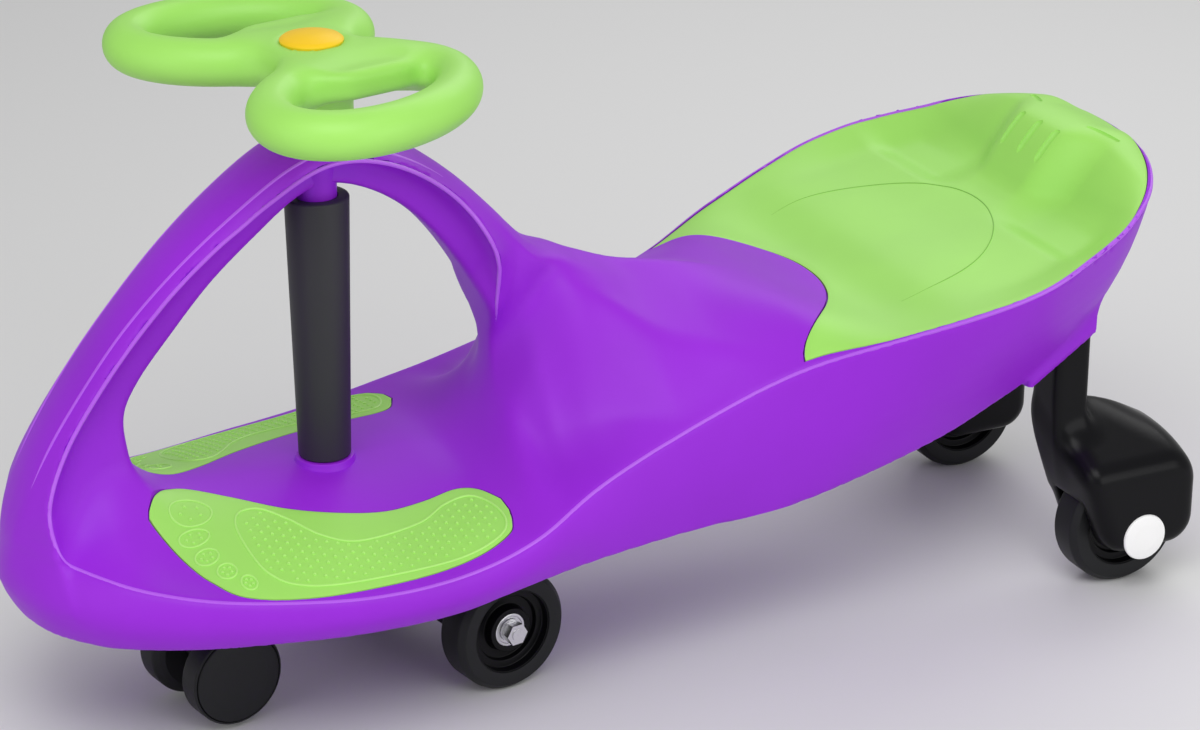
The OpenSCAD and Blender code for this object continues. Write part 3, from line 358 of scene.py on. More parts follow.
def arch_field(x, y, z):
    """Signed distance to the arch, whose section changes along its length."""
    shape = np.broadcast(x, z).shape
    px, pz = np.broadcast_to(x, shape).ravel(), np.broadcast_to(z, shape).ravel()
    o, i = ARCH_FINE[:, 0:2], ARCH_FINE[:, 2:4]
    e = i - o
    length = norm(e, axis=1)
    e = e / length[:, None]
    best, place = np.full(px.shape, 1e9), np.zeros(px.shape, int)
    for n in range(len(o)):
        dx, dz = px - o[n, 0], pz - o[n, 1]
        depth = dx * e[n, 0] + dz * e[n, 1]
        past = np.maximum(-ROW_REACH - depth, depth - length[n] - ROW_REACH)
        off = np.abs(dx * e[n, 1] - dz * e[n, 0]) + np.maximum(0, past)
        near = off < best
        best[near], place[near] = off[near], n

    def across(n):
        return (px - o[n, 0]) * e[n, 1] - (pz - o[n, 1]) * e[n, 0]

    here = across(place)
    after = np.minimum(place + 1, len(o) - 1)
    before = np.maximum(place - 1, 0)
    forward = here * across(after) < 0
    between = forward | (here * across(before) < 0)
    other = np.where(forward, after, before)
    there = np.abs(across(other))
    share = np.where(between, np.abs(here) / (np.abs(here) + there + 1e-9), 0)
    row = ARCH_FINE[place] * (1 - share)[:, None] + ARCH_FINE[other] * share[:, None]
    at_end = (place == 0) | (place == len(o) - 1)
    beyond = np.where(between | ~at_end, -1e3, np.abs(here))
    d = row[:, 2:4] - row[:, 0:2]
    depth_all = norm(d, axis=1)
    depth = ((px - row[:, 0]) * d[:, 0] + (pz - row[:, 1]) * d[:, 1]) / depth_all
    values = [v.reshape(shape) for v in (depth, depth_all, beyond, *row[:, 4:].T)]
    depth, depth_all, beyond, edge, edge_at, upper, upper_at, hollow = values
    below = 1 - edge_at
    corners = [(0 * edge, 0 * edge), (0.55 * upper, 0.15 * upper_at), (upper, upper_at), (edge, edge_at)]
    corners += [(wide * edge, edge_at + deep * below) for wide, deep in UNDERSIDE]
    corners.append((0 * edge, 1 + 0 * edge))
    corners = [(a, b * depth_all) for a, b in corners]
    field = beyond
    side = np.abs(y)
    for (y0, d0), (y1, d1) in zip(corners, corners[1:]):
        ey, ed = y1 - y0, d1 - d0
        size = np.sqrt(ey * ey + ed * ed)
        field = smooth_max(field, ((side - y0) * ed - (depth - d0) * ey) / size, 1.5)
    t = np.clip((depth / depth_all - edge_at) / below, 0, 1)
    taper = TAPER + TAPER_GAIN * np.minimum(hollow / FULL_HOLLOW, 1)
    face = edge * (1 - taper * t) - hollow * (1 - t) * (1 - np.exp(-t / HOLLOW_LIP))
    return smooth_max(field, FACE_SLOPE * (side - face), FACE_BLEND)


# Flute down the rear leg of the arch: centre x, y, z and radius
FLUTE = np.array([[-118, 56, 292, 14], [-121, 53, 271, 21], [-111, 48, 245, 18], [-106, 38, 219, 15],
                  [-98, 30, 196, 13], [-80, 26, 180, 10]], float)


def flute_field(x, y, z):
    """Distance to a bar of changing radius on each side of the body."""
    best = 1e3
    side = np.abs(y)
    for a, b in zip(FLUTE, FLUTE[1:]):
        d = b[:3] - a[:3]
        t = np.clip(((x - a[0]) * d[0] + (side - a[1]) * d[1] + (z - a[2]) * d[2]) / (d @ d), 0, 1)
        c = a + t[..., None] * (b - a)
        far = np.sqrt((x - c[..., 0]) ** 2 + (side - c[..., 1]) ** 2 + (z - c[..., 2]) ** 2)
        best = smooth_min(best, far - c[..., 3], 3)
    return best


# Sockets of the rear posts
SOCKET_X, SOCKET_Y, SOCKET_Z = 80 - TAIL, 86, SKIRT_Z + 86
SOCKET_HALF = (14.3, 19.3)
SOCKET_FRONT = 22
SOCKET_TILT = math.radians(33)
SOCKET_TOP = SKIRT_Z + 141


def socket_field(x, y, z):
    """Housing of a rear post, cut by a slanted plane below."""
    along = np.maximum(SOCKET_X - SOCKET_HALF[0] - x, x - SOCKET_X - SOCKET_HALF[0] - SOCKET_FRONT)
    side = np.maximum(along, np.abs(np.abs(y) - SOCKET_Y) - SOCKET_HALF[1])
    lip = (SOCKET_Z - z) * math.cos(SOCKET_TILT) - (x - SOCKET_X) * math.sin(SOCKET_TILT)
    return smooth_max(smooth_max(side, lip, 3), z - SOCKET_TOP, 3)


# Blend between arch and body: at the nose, and what it gains behind the nose and behind the column
BLEND, BLEND_NOSE, BLEND_REAR = 9, 9, 10


def body_field(x, y, z):
    """Negative inside the wall of the body."""
    skirt, below = skirt_field(x, y, z)
    lid = (z - TOP_MAP(x, y)) * TILT_MAP(x, y)
    outer = smooth_max(skirt, lid, 3)
    blend = BLEND + BLEND_NOSE * smooth_step((NOSE - 30 - x) / 45) + BLEND_REAR * smooth_step(-x / 60)
    whole = smooth_min(outer, arch_field(x, y, z), blend)
    whole = smooth_max(whole, -flute_field(x, y, z), 2)
    whole = smooth_max(whole, below, 2)
    hollow = smooth_max(skirt + WALL, lid + WALL, 6)
    whole = smooth_max(whole, -hollow, 1)
    return smooth_min(whole, socket_field(x, y, z), 5)


def surface_net(field, low, high, cell):
    """Closed quad mesh of the zero surface of a field inside a box."""
    axes = [np.arange(low[i], high[i] + cell, cell) for i in range(3)]
    x, y, z = axes[0][:, None, None], axes[1][None, :, None], axes[2][None, None, :]
    value = field(x, y, z)
    inside = value < 0
    n = np.array(value.shape)
    mixed = np.zeros(n - 1, int)
    for dx, dy, dz in np.ndindex(2, 2, 2):
        mixed += inside[dx:n[0] - 1 + dx, dy:n[1] - 1 + dy, dz:n[2] - 1 + dz]
    cells = np.argwhere((mixed > 0) & (mixed < 8))
    number = np.full(n - 1, -1)
    number[tuple(cells.T)] = np.arange(len(cells))
    total, count = np.zeros((len(cells), 3)), np.zeros(len(cells))
    for axis in range(3):
        others = [a for a in range(3) if a != axis]
        for shift in np.ndindex(2, 2):
            a = cells.copy()
            a[:, others] += shift
            b = a.copy()
            b[:, axis] += 1
            va, vb = value[tuple(a.T)], value[tuple(b.T)]
            crossed = (va < 0) != (vb < 0)
            p = a.astype(float)
            p[:, axis] += np.where(crossed, va / np.where(crossed, va - vb, 1), 0)
            total[crossed] += p[crossed]
            count[crossed] += 1
    points = total / count[:, None] * cell + np.array(low)
    quads = []
    for axis in range(3):
        u, v = (axis + 1) % 3, (axis + 2) % 3
        a = np.take(inside, range(n[axis] - 1), axis)
        edges = np.argwhere(a != np.take(inside, range(1, n[axis]), axis))
        eu, ev = edges[:, u], edges[:, v]
        edges = edges[(eu > 0) & (ev > 0) & (eu < n[u] - 1) & (ev < n[v] - 1)]
        out = a[tuple(edges.T)]
        ring = []
        for du, dv in ((0, 0), (-1, 0), (-1, -1), (0, -1)):
            c = edges.copy()
            c[:, u] += du
            c[:, v] += dv
            ring.append(number[tuple(c.T)])
        ring = np.stack(ring, 1)
        ring[~out] = ring[~out][:, ::-1]
        quads.append(ring)
    return points, np.vstack(quads)


def value_and_slope(field, points):
    h = 0.4
    x, y, z = points.T
    v = field(x, y, z)
    return v, np.stack([field(x + h, y, z) - v, field(x, y + h, z) - v, field(x, y, z + h) - v], 1) / h


def settle(field, points, passes, most=0.8):
    """Moves points onto the zero surface of a field, each pass by no more than a limit."""
    for _ in range(passes):
        v, g = value_and_slope(field, points)
        step = v / np.maximum((g * g).sum(1), 0.2)
        points = points - g * np.clip(step, -most, most)[:, None]
    return points


def relax(field, points, quads, passes):
    """Slides each point along the surface, half of the way to the middle of its neighbours."""
    pairs = np.vstack([quads[:, [i, (i + 1) % 4]] for i in range(4)])
    count = np.maximum(np.bincount(pairs[:, 0], minlength=len(points)), 1)
    for _ in range(passes):
        middle = [np.bincount(pairs[:, 0], points[pairs[:, 1], k], len(points)) / count for k in range(3)]
        shift = (np.stack(middle, 1) - points) / 2
        g = value_and_slope(field, points)[1]
        g /= np.maximum(norm(g, axis=1), 0.2)[:, None]
        points = points + shift - g * (shift * g).sum(1)[:, None]
    return points


# Meshes
def to_part(points):
    """Millimetres from the steering axis to metres in the part's frame."""
    return (np.asarray(points, float) + (AXIS_X, 0, 0)) * MM


def add_object(name, data):
    thing = bpy.data.objects.new(name, data)
    bpy.context.scene.collection.objects.link(thing)
    return thing


def bare_object(name, points, faces):
    mesh = bpy.data.meshes.new(name)
    mesh.from_pydata([tuple(v) for v in to_part(points)], [], [tuple(f) for f in faces])
    mesh.update()
    return add_object(name, mesh)


def new_object(name, points, faces, material, body, slot, *nodes):
    piece = bare_object(name, points, faces)
    piece.data.materials.append(material)
    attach(piece, body)
    if nodes:
        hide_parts(*nodes)
    return piece


def weld(mesh, near, thin=0.0, outward=True):
    """Joins points that meet, drops edges of no length and turns faces outward."""
    work = bmesh.new()
    work.from_mesh(mesh)
    bmesh.ops.remove_doubles(work, verts=work.verts, dist=near)
    if thin:
        bmesh.ops.dissolve_degenerate(work, edges=work.edges, dist=thin)
    if outward:
        bmesh.ops.recalc_face_normals(work, faces=work.faces)
    work.to_mesh(mesh)
    work.free()


def smooth_edges(piece, angle):
    """Smooth shading, with edges sharper than the angle kept crisp."""
    mesh = bmesh.new()
    mesh.from_mesh(piece.data)
    for face in mesh.faces:
        face.smooth = True
    for edge in mesh.edges:
        edge.smooth = len(edge.link_faces) == 2 and edge.calc_face_angle(0) < math.radians(angle)
    mesh.to_mesh(piece.data)
    mesh.free()


# Materials
def fill(node, values):
    for name, value in values.items():
        node.inputs[name].default_value = value


def new_material(name, values):
    """Material whose main shader has these inputs."""
    material = bpy.data.materials.new(name)
    material.use_nodes = True
    shader = material.node_tree.nodes["Principled BSDF"]
    fill(shader, values)
    return material, material.node_tree, shader


def noise(tree, scale, detail):
    """Output of a noise over the object's own coordinates."""
    place = tree.nodes.new("ShaderNodeTexCoord")
    texture = tree.nodes.new("ShaderNodeTexNoise")
    fill(texture, {"Scale": scale, "Detail": detail})
    tree.links.new(place.outputs["Object"], texture.inputs["Vector"])
    return texture.outputs["Fac"]


def vary_roughness(tree, shader, source, low, high):
    gloss = tree.nodes.new("ShaderNodeMapRange")
    fill(gloss, {"To Min": low, "To Max": high})
    tree.links.new(source, gloss.inputs["Value"])
    tree.links.new(gloss.outputs["Result"], shader.inputs["Roughness"])


def plastic(name, colour, roughness, grain, shine=0.5):
    """Moulded plastic: a fine grain, and a little change of tone and gloss over the surface."""
    material, tree, shader = new_material(name, {"Specular IOR Level": shine})
    broad = noise(tree, 9, 3)
    tone = tree.nodes.new("ShaderNodeValToRGB")
    dark, light = tone.color_ramp.elements
    dark.position, light.position = 0.3, 0.7
    dark.color = [c * 0.95 for c in colour] + [1]
    light.color = [min(1, c * 1.05) for c in colour] + [1]
    tree.links.new(broad, tone.inputs["Fac"])
    tree.links.new(tone.outputs["Color"], shader.inputs["Base Color"])
    vary_roughness(tree, shader, broad, roughness - 0.04, roughness + 0.05)
    bump = tree.nodes.new("ShaderNodeBump")
    fill(bump, {"Strength": grain, "Distance": 0.0003})
    tree.links.new(noise(tree, 1400, 2), bump.inputs["Height"])
    tree.links.new(bump.outputs["Normal"], shader.inputs["Normal"])
    return material


def metal(name, colour, roughness):
    """Bright zinc-plated steel with an uneven gloss."""
    material, tree, shader = new_material(name, {"Metallic": 1, "Base Color": list(colour) + [1]})
    vary_roughness(tree, shader, noise(tree, 420, 4), roughness - 0.08, roughness + 0.12)
    return material


PURPLE = plastic("purple_plastic", (0.32, 0.020, 0.70), 0.46, 0.12, 0.24)
# Lighter purple of the edge beads: painted highlight along the crisp edges of the body
PURPLE_EDGE_HIGHLIGHT = plastic("purple_edge_highlight", (0.46, 0.10, 0.84), 0.36, 0.08)
GREEN = plastic("green_plastic", (0.37, 0.78, 0.135), 0.44, 0.10, 0.4)
# Lighter green of the pad's dots and outlines: painted highlight on the raised relief
GREEN_DOT_HIGHLIGHT = plastic("green_dot_highlight", (0.47, 0.88, 0.20), 0.4, 0.05, 0.5)
# Darker green of the thin oval tube round the seat: painted shade of a groove
GREEN_GROOVE_SHADE = plastic("green_groove_shade", (0.23, 0.54, 0.075), 0.5, 0.05, 0.3)
YELLOW = plastic("yellow_plastic", (0.99, 0.62, 0.02), 0.4, 0.06, 0.15)
WHITE = plastic("white_plastic", (0.93, 0.93, 0.92), 0.38, 0.05)
COLUMN = plastic("column_plastic", (0.034, 0.033, 0.039), 0.5, 0.15, 0.3)
BLACK = plastic("black_plastic", (0.004, 0.004, 0.005), 0.28, 0.12, 0.15)
RUBBER = plastic("tyre_rubber", (0.012, 0.0125, 0.014), 0.5, 0.2, 0.25)
STEEL = metal("zinc_steel", (0.74, 0.74, 0.76), 0.28)
FINISH = dict(purple_plastic=PURPLE, green_plastic=GREEN, yellow_plastic=YELLOW, white_plastic=WHITE,
              column_plastic=COLUMN, black_plastic=BLACK, tyre_rubber=RUBBER, steel=STEEL)
for row in frame["record"]["subparts"]:
    slots = frame["nodes"][row["node"]].data.materials
    slots.clear()
    slots.append(FINISH[row["material_slot"]])


# Seat: first and last place along the rim, the bay at its front edge and the tips beside it
SEAT_MARGIN, SEAT_T = 4, 3
SEAT_FIRST, SEAT_LAST, RIM_STEP = 10.95, 18.94, 60
SEAT_BAY, BAY_SHARE, BAY_POWER, BAY_ROUND = 70, 0.62, 1.2, 2.2
SEAT_TIP, TIP_FROM, TIP_WIDE, TIP_SHARE = 9, 0.86, 0.14, 0.12

# Recesses for seat and pads, the gap round them, and a small step for slopes
SEAT_BED, PAD_BED = 0.3, 0.3
PAD_RECESS, PAD_UP = 2, 0.5
EDGE_GAP = 0.7
STEEPEST = 1.8
PROBE = 0.5


def seat_grid(rows, cols, side):
    """Plan points over the seat; side is how far its edge stands outside the panel's edge."""
    s = np.linspace(0, 1, rows + 1)
    u = SEAT_FIRST - side / RIM_STEP + (SEAT_LAST - SEAT_FIRST + side / RIM_STEP) * s
    e = spline(RIM_LOOP, u)[:, :2] + inward(u) * (SEAT_MARGIN - side)
    bay = np.maximum(0, 1 - s / BAY_SHARE) ** BAY_POWER * SEAT_BAY
    t = np.linspace(-1, 1, cols + 1)
    x = e[:, :1] - bay[:, None] * (1 - np.abs(t) ** BAY_ROUND) + (side * (1 - s))[:, None]
    tip = np.clip((np.abs(t) - TIP_FROM) / TIP_WIDE, 0, 1) ** 2
    x = x - SEAT_TIP * tip[None] * (np.maximum(0, 1 - s / TIP_SHARE) ** 2)[:, None]
    return np.stack([x, e[:, 1:] * t], 2)


def pad_grid(rows, cols, side):
    """Plan points over the left foot pad."""
    s = np.linspace(0, 1, rows + 1)
    a = spline(run_out(PAD_IN), s * (len(PAD_IN) - 1))
    b = spline(run_out(PAD_OUT), s * (len(PAD_OUT) - 1))
    d = (b - a) / norm(b - a, axis=1)[:, None]
    a, b = a - d * side, b + d * side
    share = np.linspace(0, 1, cols + 1)
    grid = a[:, None] + (b - a)[:, None] * share[None, :, None]
    grid[:, :, 0] += (side * (1 - 2 * s))[:, None]
    return grid


def sheet_mesh(grid, lower, upper, edge_drop=0.0):
    """Closed sheet over a plan grid that follows the top of the body."""
    n, m = grid.shape[:2]
    x, y = grid[:, :, 0], grid[:, :, 1]
    z = top(x, y)
    rise = np.full((n, m), float(upper))
    rise[[0, -1], :] -= edge_drop
    rise[1:-1, [0, -1]] -= edge_drop
    slope = np.hypot(top(x + PROBE, y) - z, top(x, y + PROBE) - z) / PROBE
    steep = np.minimum(np.sqrt(1 + slope * slope), STEEPEST)
    up = np.dstack([grid, z + rise]).reshape(-1, 3)
    down = np.dstack([grid, z + lower * steep]).reshape(-1, 3)
    q = n * m
    i, j = np.meshgrid(np.arange(n - 1), np.arange(m - 1), indexing="ij")
    a = (i * m + j).ravel()
    faces = [np.stack([a, a + m, a + m + 1, a + 1], 1), np.stack([a, a + 1, a + m + 1, a + m], 1) + q]
    ring = np.concatenate([np.arange(m - 1), np.arange(n - 1) * m + m - 1,
                           n * m - 1 - np.arange(m - 1), (n - 1 - np.arange(n - 1)) * m])
    after = np.roll(ring, -1)
    faces.append(np.stack([ring, after, after + q, ring + q], 1))
    return np.vstack([up, down]), np.vstack(faces)


def on_side(points, faces, sign):
    """A shape of the left side as it is, or mirrored for the right side where the sign is -1."""
    return points * (1, sign, 1), faces if sign > 0 else [f[::-1] for f in faces]


def cut(piece, points, faces):
    """Takes a closed mesh away from a piece."""
    cutter = bare_object("cutter", points, faces)
    weld(cutter.data, 1e-6)
    change = piece.modifiers.new("cut", "BOOLEAN")
    change.operation = "DIFFERENCE"
    change.solver = "EXACT"
    change.object = cutter
    bpy.context.view_layer.update()
    shape = bpy.data.meshes.new_from_object(piece.evaluated_get(bpy.context.evaluated_depsgraph_get()))
    piece.modifiers.clear()
    old = piece.data
    piece.data = shape
    bpy.data.meshes.remove(old)
    bpy.data.objects.remove(cutter)


def make_body():
    low = (-TAIL - 12, -SEAT_Y - 12, SKIRT_Z - 6)
    high = (NOSE + 12, SEAT_Y + 12, ARCH_Z + 8)
    points, quads = surface_net(body_field, low, high, CELL)
    points = settle(body_field, points, 3)
    points = settle(body_field, relax(body_field, points, quads, 2), 2)
    body = new_object("body", points, quads, PURPLE, "chassis", "purple_plastic", "body_shell")
    cut(body, *sheet_mesh(seat_grid(100, 40, EDGE_GAP), -SEAT_T - SEAT_BED, 30))
    recess = sheet_mesh(pad_grid(60, 10, EDGE_GAP), -PAD_RECESS, 20)
    for sign in (1, -1):
        cut(body, *on_side(*recess, sign))
    smooth_edges(body, 50)


def taken(work):
    """Points and faces of a working mesh, which is given up."""
    work.verts.index_update()
    points = np.array([v.co for v in work.verts])
    faces = [tuple(v.index for v in f.verts) for f in work.faces]
    work.free()
    return points, faces


def capsule(a, b, radius, sides=20):
    """Closed round bar between two points, with round ends."""
    a, b = Vector(a), Vector(b)
    work = bmesh.new()
    bmesh.ops.create_uvsphere(work, u_segments=sides, v_segments=sides // 2, radius=radius)
    stretch = (b - a).length / 2
    for v in work.verts:
        v.co.z += math.copysign(stretch, v.co.z) if abs(v.co.z) > 1e-6 else 0
    turn = (b - a).to_track_quat("Z", "Y").to_matrix().to_4x4()
    work.transform(Matrix.Translation((a + b) / 2) @ turn)
    return taken(work)


# Three grip slots in the back rest, two slits above them, and a fine dark oval line round the seat that is painted
# shade of a groove
SLOT_X, SLOT_Y = (-500, -519), 21
SLOT_R, SLOT_DEEP, SLOT_TAPER, SLOT_POWER = 3.3, 2.3, 0.92, 8
SLIT, SLIT_UP, SLIT_R = ((-536, 30), (-544, 52)), 0.6, 1.8
OVAL_X, OVAL_A, OVAL_B = -378, 90, 88
OVAL_TURN, OVAL_FADE, OVAL_THIN, OVAL_GAIN = 1.75, 0.5, 0.1, 0.3


def on_seat(x, y, up):
    """Point that stands off the top of the body along its normal."""
    x, y = np.array([x, x + PROBE, x], float), np.array([y, y, y + PROBE], float)
    z = top(x, y)
    n = np.array([z[0] - z[1], z[0] - z[2], PROBE])
    return np.array([x[0], y[0], z[0]]) + n / norm(n) * up


def make_seat():
    points, faces = sheet_mesh(seat_grid(150, 110, 0), -SEAT_T, 0, 0.5)
    seat = new_object("seat", points, faces, GREEN, "chassis", "green_plastic", "seat_panel")
    weld(seat.data, 2e-5, outward=False)
    t = np.linspace(0, 1, 13)
    radius = SLOT_R * np.sqrt(1 - SLOT_TAPER * np.abs(2 * t - 1) ** SLOT_POWER)
    for y in (-SLOT_Y, 0, SLOT_Y):
        path = [on_seat(x, y, SLOT_R - SLOT_DEEP) for x in SLOT_X[0] + (SLOT_X[1] - SLOT_X[0]) * t]
        cut(seat, *tube(path, radius, False, 20))
    for sign in (1, -1):
        cut(seat, *capsule(*[on_seat(x, y * sign, SLIT_UP) for x, y in SLIT], SLIT_R))
    smooth_edges(seat, 40)
    a = np.linspace(-OVAL_TURN, OVAL_TURN, 90)
    oval = np.stack([OVAL_X - OVAL_A * np.cos(a), OVAL_B * np.sin(a)], 1)
    fade = smooth_step((OVAL_TURN - np.abs(a)) / OVAL_FADE)
    # A thin dark tube on the surface, painted shade where the seat has a groove
    points, faces = tube(on_top(oval, 0), OVAL_THIN + OVAL_GAIN * fade, False, 6)
    tidy(new_object("seat_groove_shade", points, faces, GREEN_GROOVE_SHADE, "chassis", "green_plastic"))


# Foot print on a pad: toes as centre and half axes, outline of the sole, and the field of dots
TOES = [(102, 36, 13, 11), (107, 55, 9.5, 6), (105, 71, 7.2, 6), (98, 86, 5.8, 6), (89, 99, 4.6, 6)]
SOLE = np.array([[80, 55], [73, 42], [60, 42], [47, 56], [33, 76], [13, 88], [-26, 86], [-48, 76],
                 [-66, 75], [-75, 90], [-75, 107], [-66, 118], [-43, 124], [-9, 123], [37, 118], [62, 110],
                 [74, 98], [79, 82]], float)
DOT_X, DOT_Y = (-76, 84), (36, 128)
DOT_STEP, DOT_ROW, DOT_R = 6.6, 0.866, 1.2
DOT_MARGIN = 3
TOE_DOTS, TOE_TURN = 5, 1.26
SOLE_R, TOE_R = 0.8, 0.7


def pad_dots(up):
    """Small round dots on the sole and the toes of a pad."""
    places = np.array([(x, y + (row % 2) * DOT_STEP / 2)
                       for row, x in enumerate(np.arange(*DOT_X, DOT_STEP * DOT_ROW), 1)
                       for y in np.arange(*DOT_Y, DOT_STEP)])
    places = places[polygon_distance(places[:, 0], places[:, 1], SOLE) < -DOT_MARGIN]
    toes = [(x + 0.5 * a * math.cos(k * TOE_TURN), y + 0.5 * b * math.sin(k * TOE_TURN))
            for x, y, a, b in TOES for k in range(TOE_DOTS)]
    places = np.vstack([places, toes])
    work = bmesh.new()
    for x, y in places:
        z = float(top(np.array(x), np.array(y))) + up
        bmesh.ops.create_icosphere(work, subdivisions=1, radius=DOT_R, matrix=Matrix.Translation((x, y, z)))
    return taken(work)


def wall_faces(rings, sides, closed):
    """Quads between rings of points that follow each other."""
    steps = np.arange(rings if closed else rings - 1)
    i, j = [v.ravel() for v in np.meshgrid(steps, np.arange(sides), indexing="ij")]
    i2, j2 = (i + 1) % rings, (j + 1) % sides
    return np.stack([i * sides + j, i2 * sides + j, i2 * sides + j2, i * sides + j2], 1)


def tube(path, radius, closed, sides=8):
    """Round bar along a path of points."""
    path = np.asarray(path, float)
    if closed:
        along = np.roll(path, -1, 0) - np.roll(path, 1, 0)
    else:
        along = np.gradient(path, axis=0)
    along /= norm(along, axis=1)[:, None]
    side = np.cross(along, (0, 0, 1.0))
    side /= norm(side, axis=1)[:, None]
    up = np.cross(side, along)
    a = np.linspace(0, 2 * math.pi, sides, endpoint=False)
    turn = side[:, None] * np.cos(a)[None, :, None] + up[:, None] * np.sin(a)[None, :, None]
    rings = path[:, None] + np.broadcast_to(radius, len(path))[:, None, None] * turn
    n = len(path)
    faces = [tuple(f) for f in wall_faces(n, sides, closed)]
    if not closed:
        faces += [tuple(range(sides)), tuple(range(n * sides - 1, (n - 1) * sides - 1, -1))]
    return rings.reshape(-1, 3), faces


def on_top(outline, up):
    return np.column_stack([outline, top(outline[:, 0], outline[:, 1]) + up])


def closed_curve(points, n):
    p = np.vstack([points[-1:], points, points[:2]])
    return spline(p, np.linspace(0, len(points), n, endpoint=False))


def join_parts(parts):
    points, faces, start = [], [], 0
    for p, f in parts:
        points.append(p)
        faces += [tuple(i + start for i in face) for face in f]
        start += len(p)
    return np.vstack(points), faces


def make_pads():
    sheet = sheet_mesh(pad_grid(80, 24, 0), PAD_BED - PAD_RECESS, PAD_UP, 0.4)
    relief = [pad_dots(PAD_UP), tube(on_top(closed_curve(SOLE, 160), PAD_UP), SOLE_R, True)]
    for x, y, along, across in TOES:
        a = np.linspace(0, 2 * math.pi, 32, endpoint=False)
        oval = np.stack([x + along * np.cos(a), y + across * np.sin(a)], 1)
        relief.append(tube(on_top(oval, PAD_UP), TOE_R, True))
    dots = join_parts(relief)
    for side, sign in (("left", 1), ("right", -1)):
        pad = new_object(side + "_pad", *on_side(*sheet, sign), GREEN, "chassis", "green_plastic",
                         side + "_foot_pad")
        smooth_edges(pad, 40)
        # Dots, sole outline and toe outlines take the lighter green, which is painted highlight
        grip = new_object(side + "_pad_dots", *on_side(*dots, sign), GREEN_DOT_HIGHLIGHT, "chassis", "green_plastic")
        smooth_edges(grip, 40)


# Edge lines of the body as thin beads in a lighter purple that is painted highlight, and the columns of the arch
# table with a line's half width and depth share
LINE_R, LINE_GAIN, LINE_X, LINE_RUN = 1.35, 0.15, -330, 60
LINE_SINK = 0.75
EDGE_COLUMNS, UPPER_COLUMNS = (4, 5), (6, 7)
NOSE_TURN = np.array([[192, 39, 159], [190.5, 43, 149], [184.5, 50, 139], [170, 66, 131.5]], float)


def arch_line(first, last, count, width, depth):
    """Points along the arch at the half width and depth share held in two columns."""
    row = spline(run_out(ARCH), np.linspace(first, last, count))
    p = row[:, 0:2] + (row[:, 2:4] - row[:, 0:2]) * row[:, depth:depth + 1]
    return np.column_stack([p[:, 0], row[:, width], p[:, 1]])


def sunk_field(x, y, z):
    return body_field(x, y, z) + LINE_SINK


def on_body(path, count):
    """Path with even steps that lies just below the surface of the body."""
    for softer in (40, 12, 2):
        walk = np.concatenate([[0], np.cumsum(norm(np.diff(path, axis=0), axis=1))])
        even = np.linspace(0, walk[-1], count)
        path = np.stack([np.interp(even, walk, path[:, k]) for k in range(3)], 1)
        for _ in range(softer):
            path[1:-1] = (path[:-2] + 2 * path[1:-1] + path[2:]) / 4
        path = settle(sunk_field, path, 3, 3)
    return path


def make_lines():
    rim = spline(RIM_LOOP, np.linspace(3, RIM_N - 0.05, 200))
    edge = on_body(np.vstack([arch_line(15.2, 2, 130, *EDGE_COLUMNS), NOSE_TURN, rim]), 700)
    upper = on_body(arch_line(12.6, 1.2, 120, *UPPER_COLUMNS), 240)
    parts = []
    for path, fade in ((edge, 30), (upper, 40)):
        n = len(path)
        ends = np.minimum(np.arange(n), np.arange(n)[::-1])
        gain = 1 + LINE_GAIN * smooth_step((LINE_X - path[:, 0]) / LINE_RUN)
        radius = LINE_R * smooth_step((ends + 1) / fade) * gain
        for sign in (1, -1):
            points, faces = tube(path * (1, sign, 1), radius, False)
            parts.append((points, faces if sign > 0 else [f[::-1] for f in faces]))
    # The beads take the lighter purple, which is painted highlight
    tidy(new_object("edge_lines", *join_parts(parts), PURPLE_EDGE_HIGHLIGHT, "chassis", "purple_plastic"))


# Turned shapes
def rounded(corners, steps=4):
    """Closed outline whose corners (a, b, radius) are rounded."""
    c = np.array(corners, float)
    out = []
    for k in range(len(c)):
        p, r = c[k, :2], c[k, 2]
        a, b = c[k - 1, :2] - p, c[(k + 1) % len(c), :2] - p
        a, b = a / norm(a), b / norm(b)
        half = math.acos(np.clip(a @ b, -1, 1)) / 2
        if r == 0 or half > 1.55:
            out.append(p)
            continue
        centre = p + (a + b) / norm(a + b) * r / math.sin(half)
        start, end = p + a * r / math.tan(half) - centre, p + b * r / math.tan(half) - centre
        angle = math.pi - 2 * half
        for t in np.linspace(0, 1, steps + 1):
            share = math.sin((1 - t) * angle) * start + math.sin(t * angle) * end
            out.append(centre + share / math.sin(angle))
    return np.array(out)


def lathe(outline, sides):
    """Closed outline of (radius, height) turned about the z axis."""
    r, h = outline[:, :1], outline[:, 1:2]
    a = np.linspace(0, 2 * math.pi, sides, endpoint=False)[None]
    points = np.stack([r * np.cos(a), r * np.sin(a), h + 0 * a], 2).reshape(-1, 3)
    return points, wall_faces(len(outline), sides, True)


def steered(points):
    """Turns points with the steering, which stands turned to the left as in the photo."""
    c, s = math.cos(STEER), math.sin(STEER)
    return points @ np.array([[c, s, 0], [-s, c, 0], [0, 0, 1]])


def tidy(piece):
    weld(piece.data, 2e-6, 1e-7)
    smooth_edges(piece, 35)


def placed(points, place, lying=False, mirror=False, steer=False):
    """Puts a turned shape in its place: along y, on the right side or turned with the steering."""
    if lying:
        points = np.stack([points[:, 0], points[:, 2], -points[:, 1]], 1)
    points = points + place
    if mirror:
        points = points * (1, -1, 1)
    return steered(points) if steer else points


def turned(name, corners, place, material, body, slot, *nodes, sides=72, **turns):
    """A turned piece from corners (radius, height, fillet)."""
    points, faces = lathe(rounded(corners), sides)
    tidy(new_object(name, placed(points, place, **turns), faces, material, body, slot, *nodes))


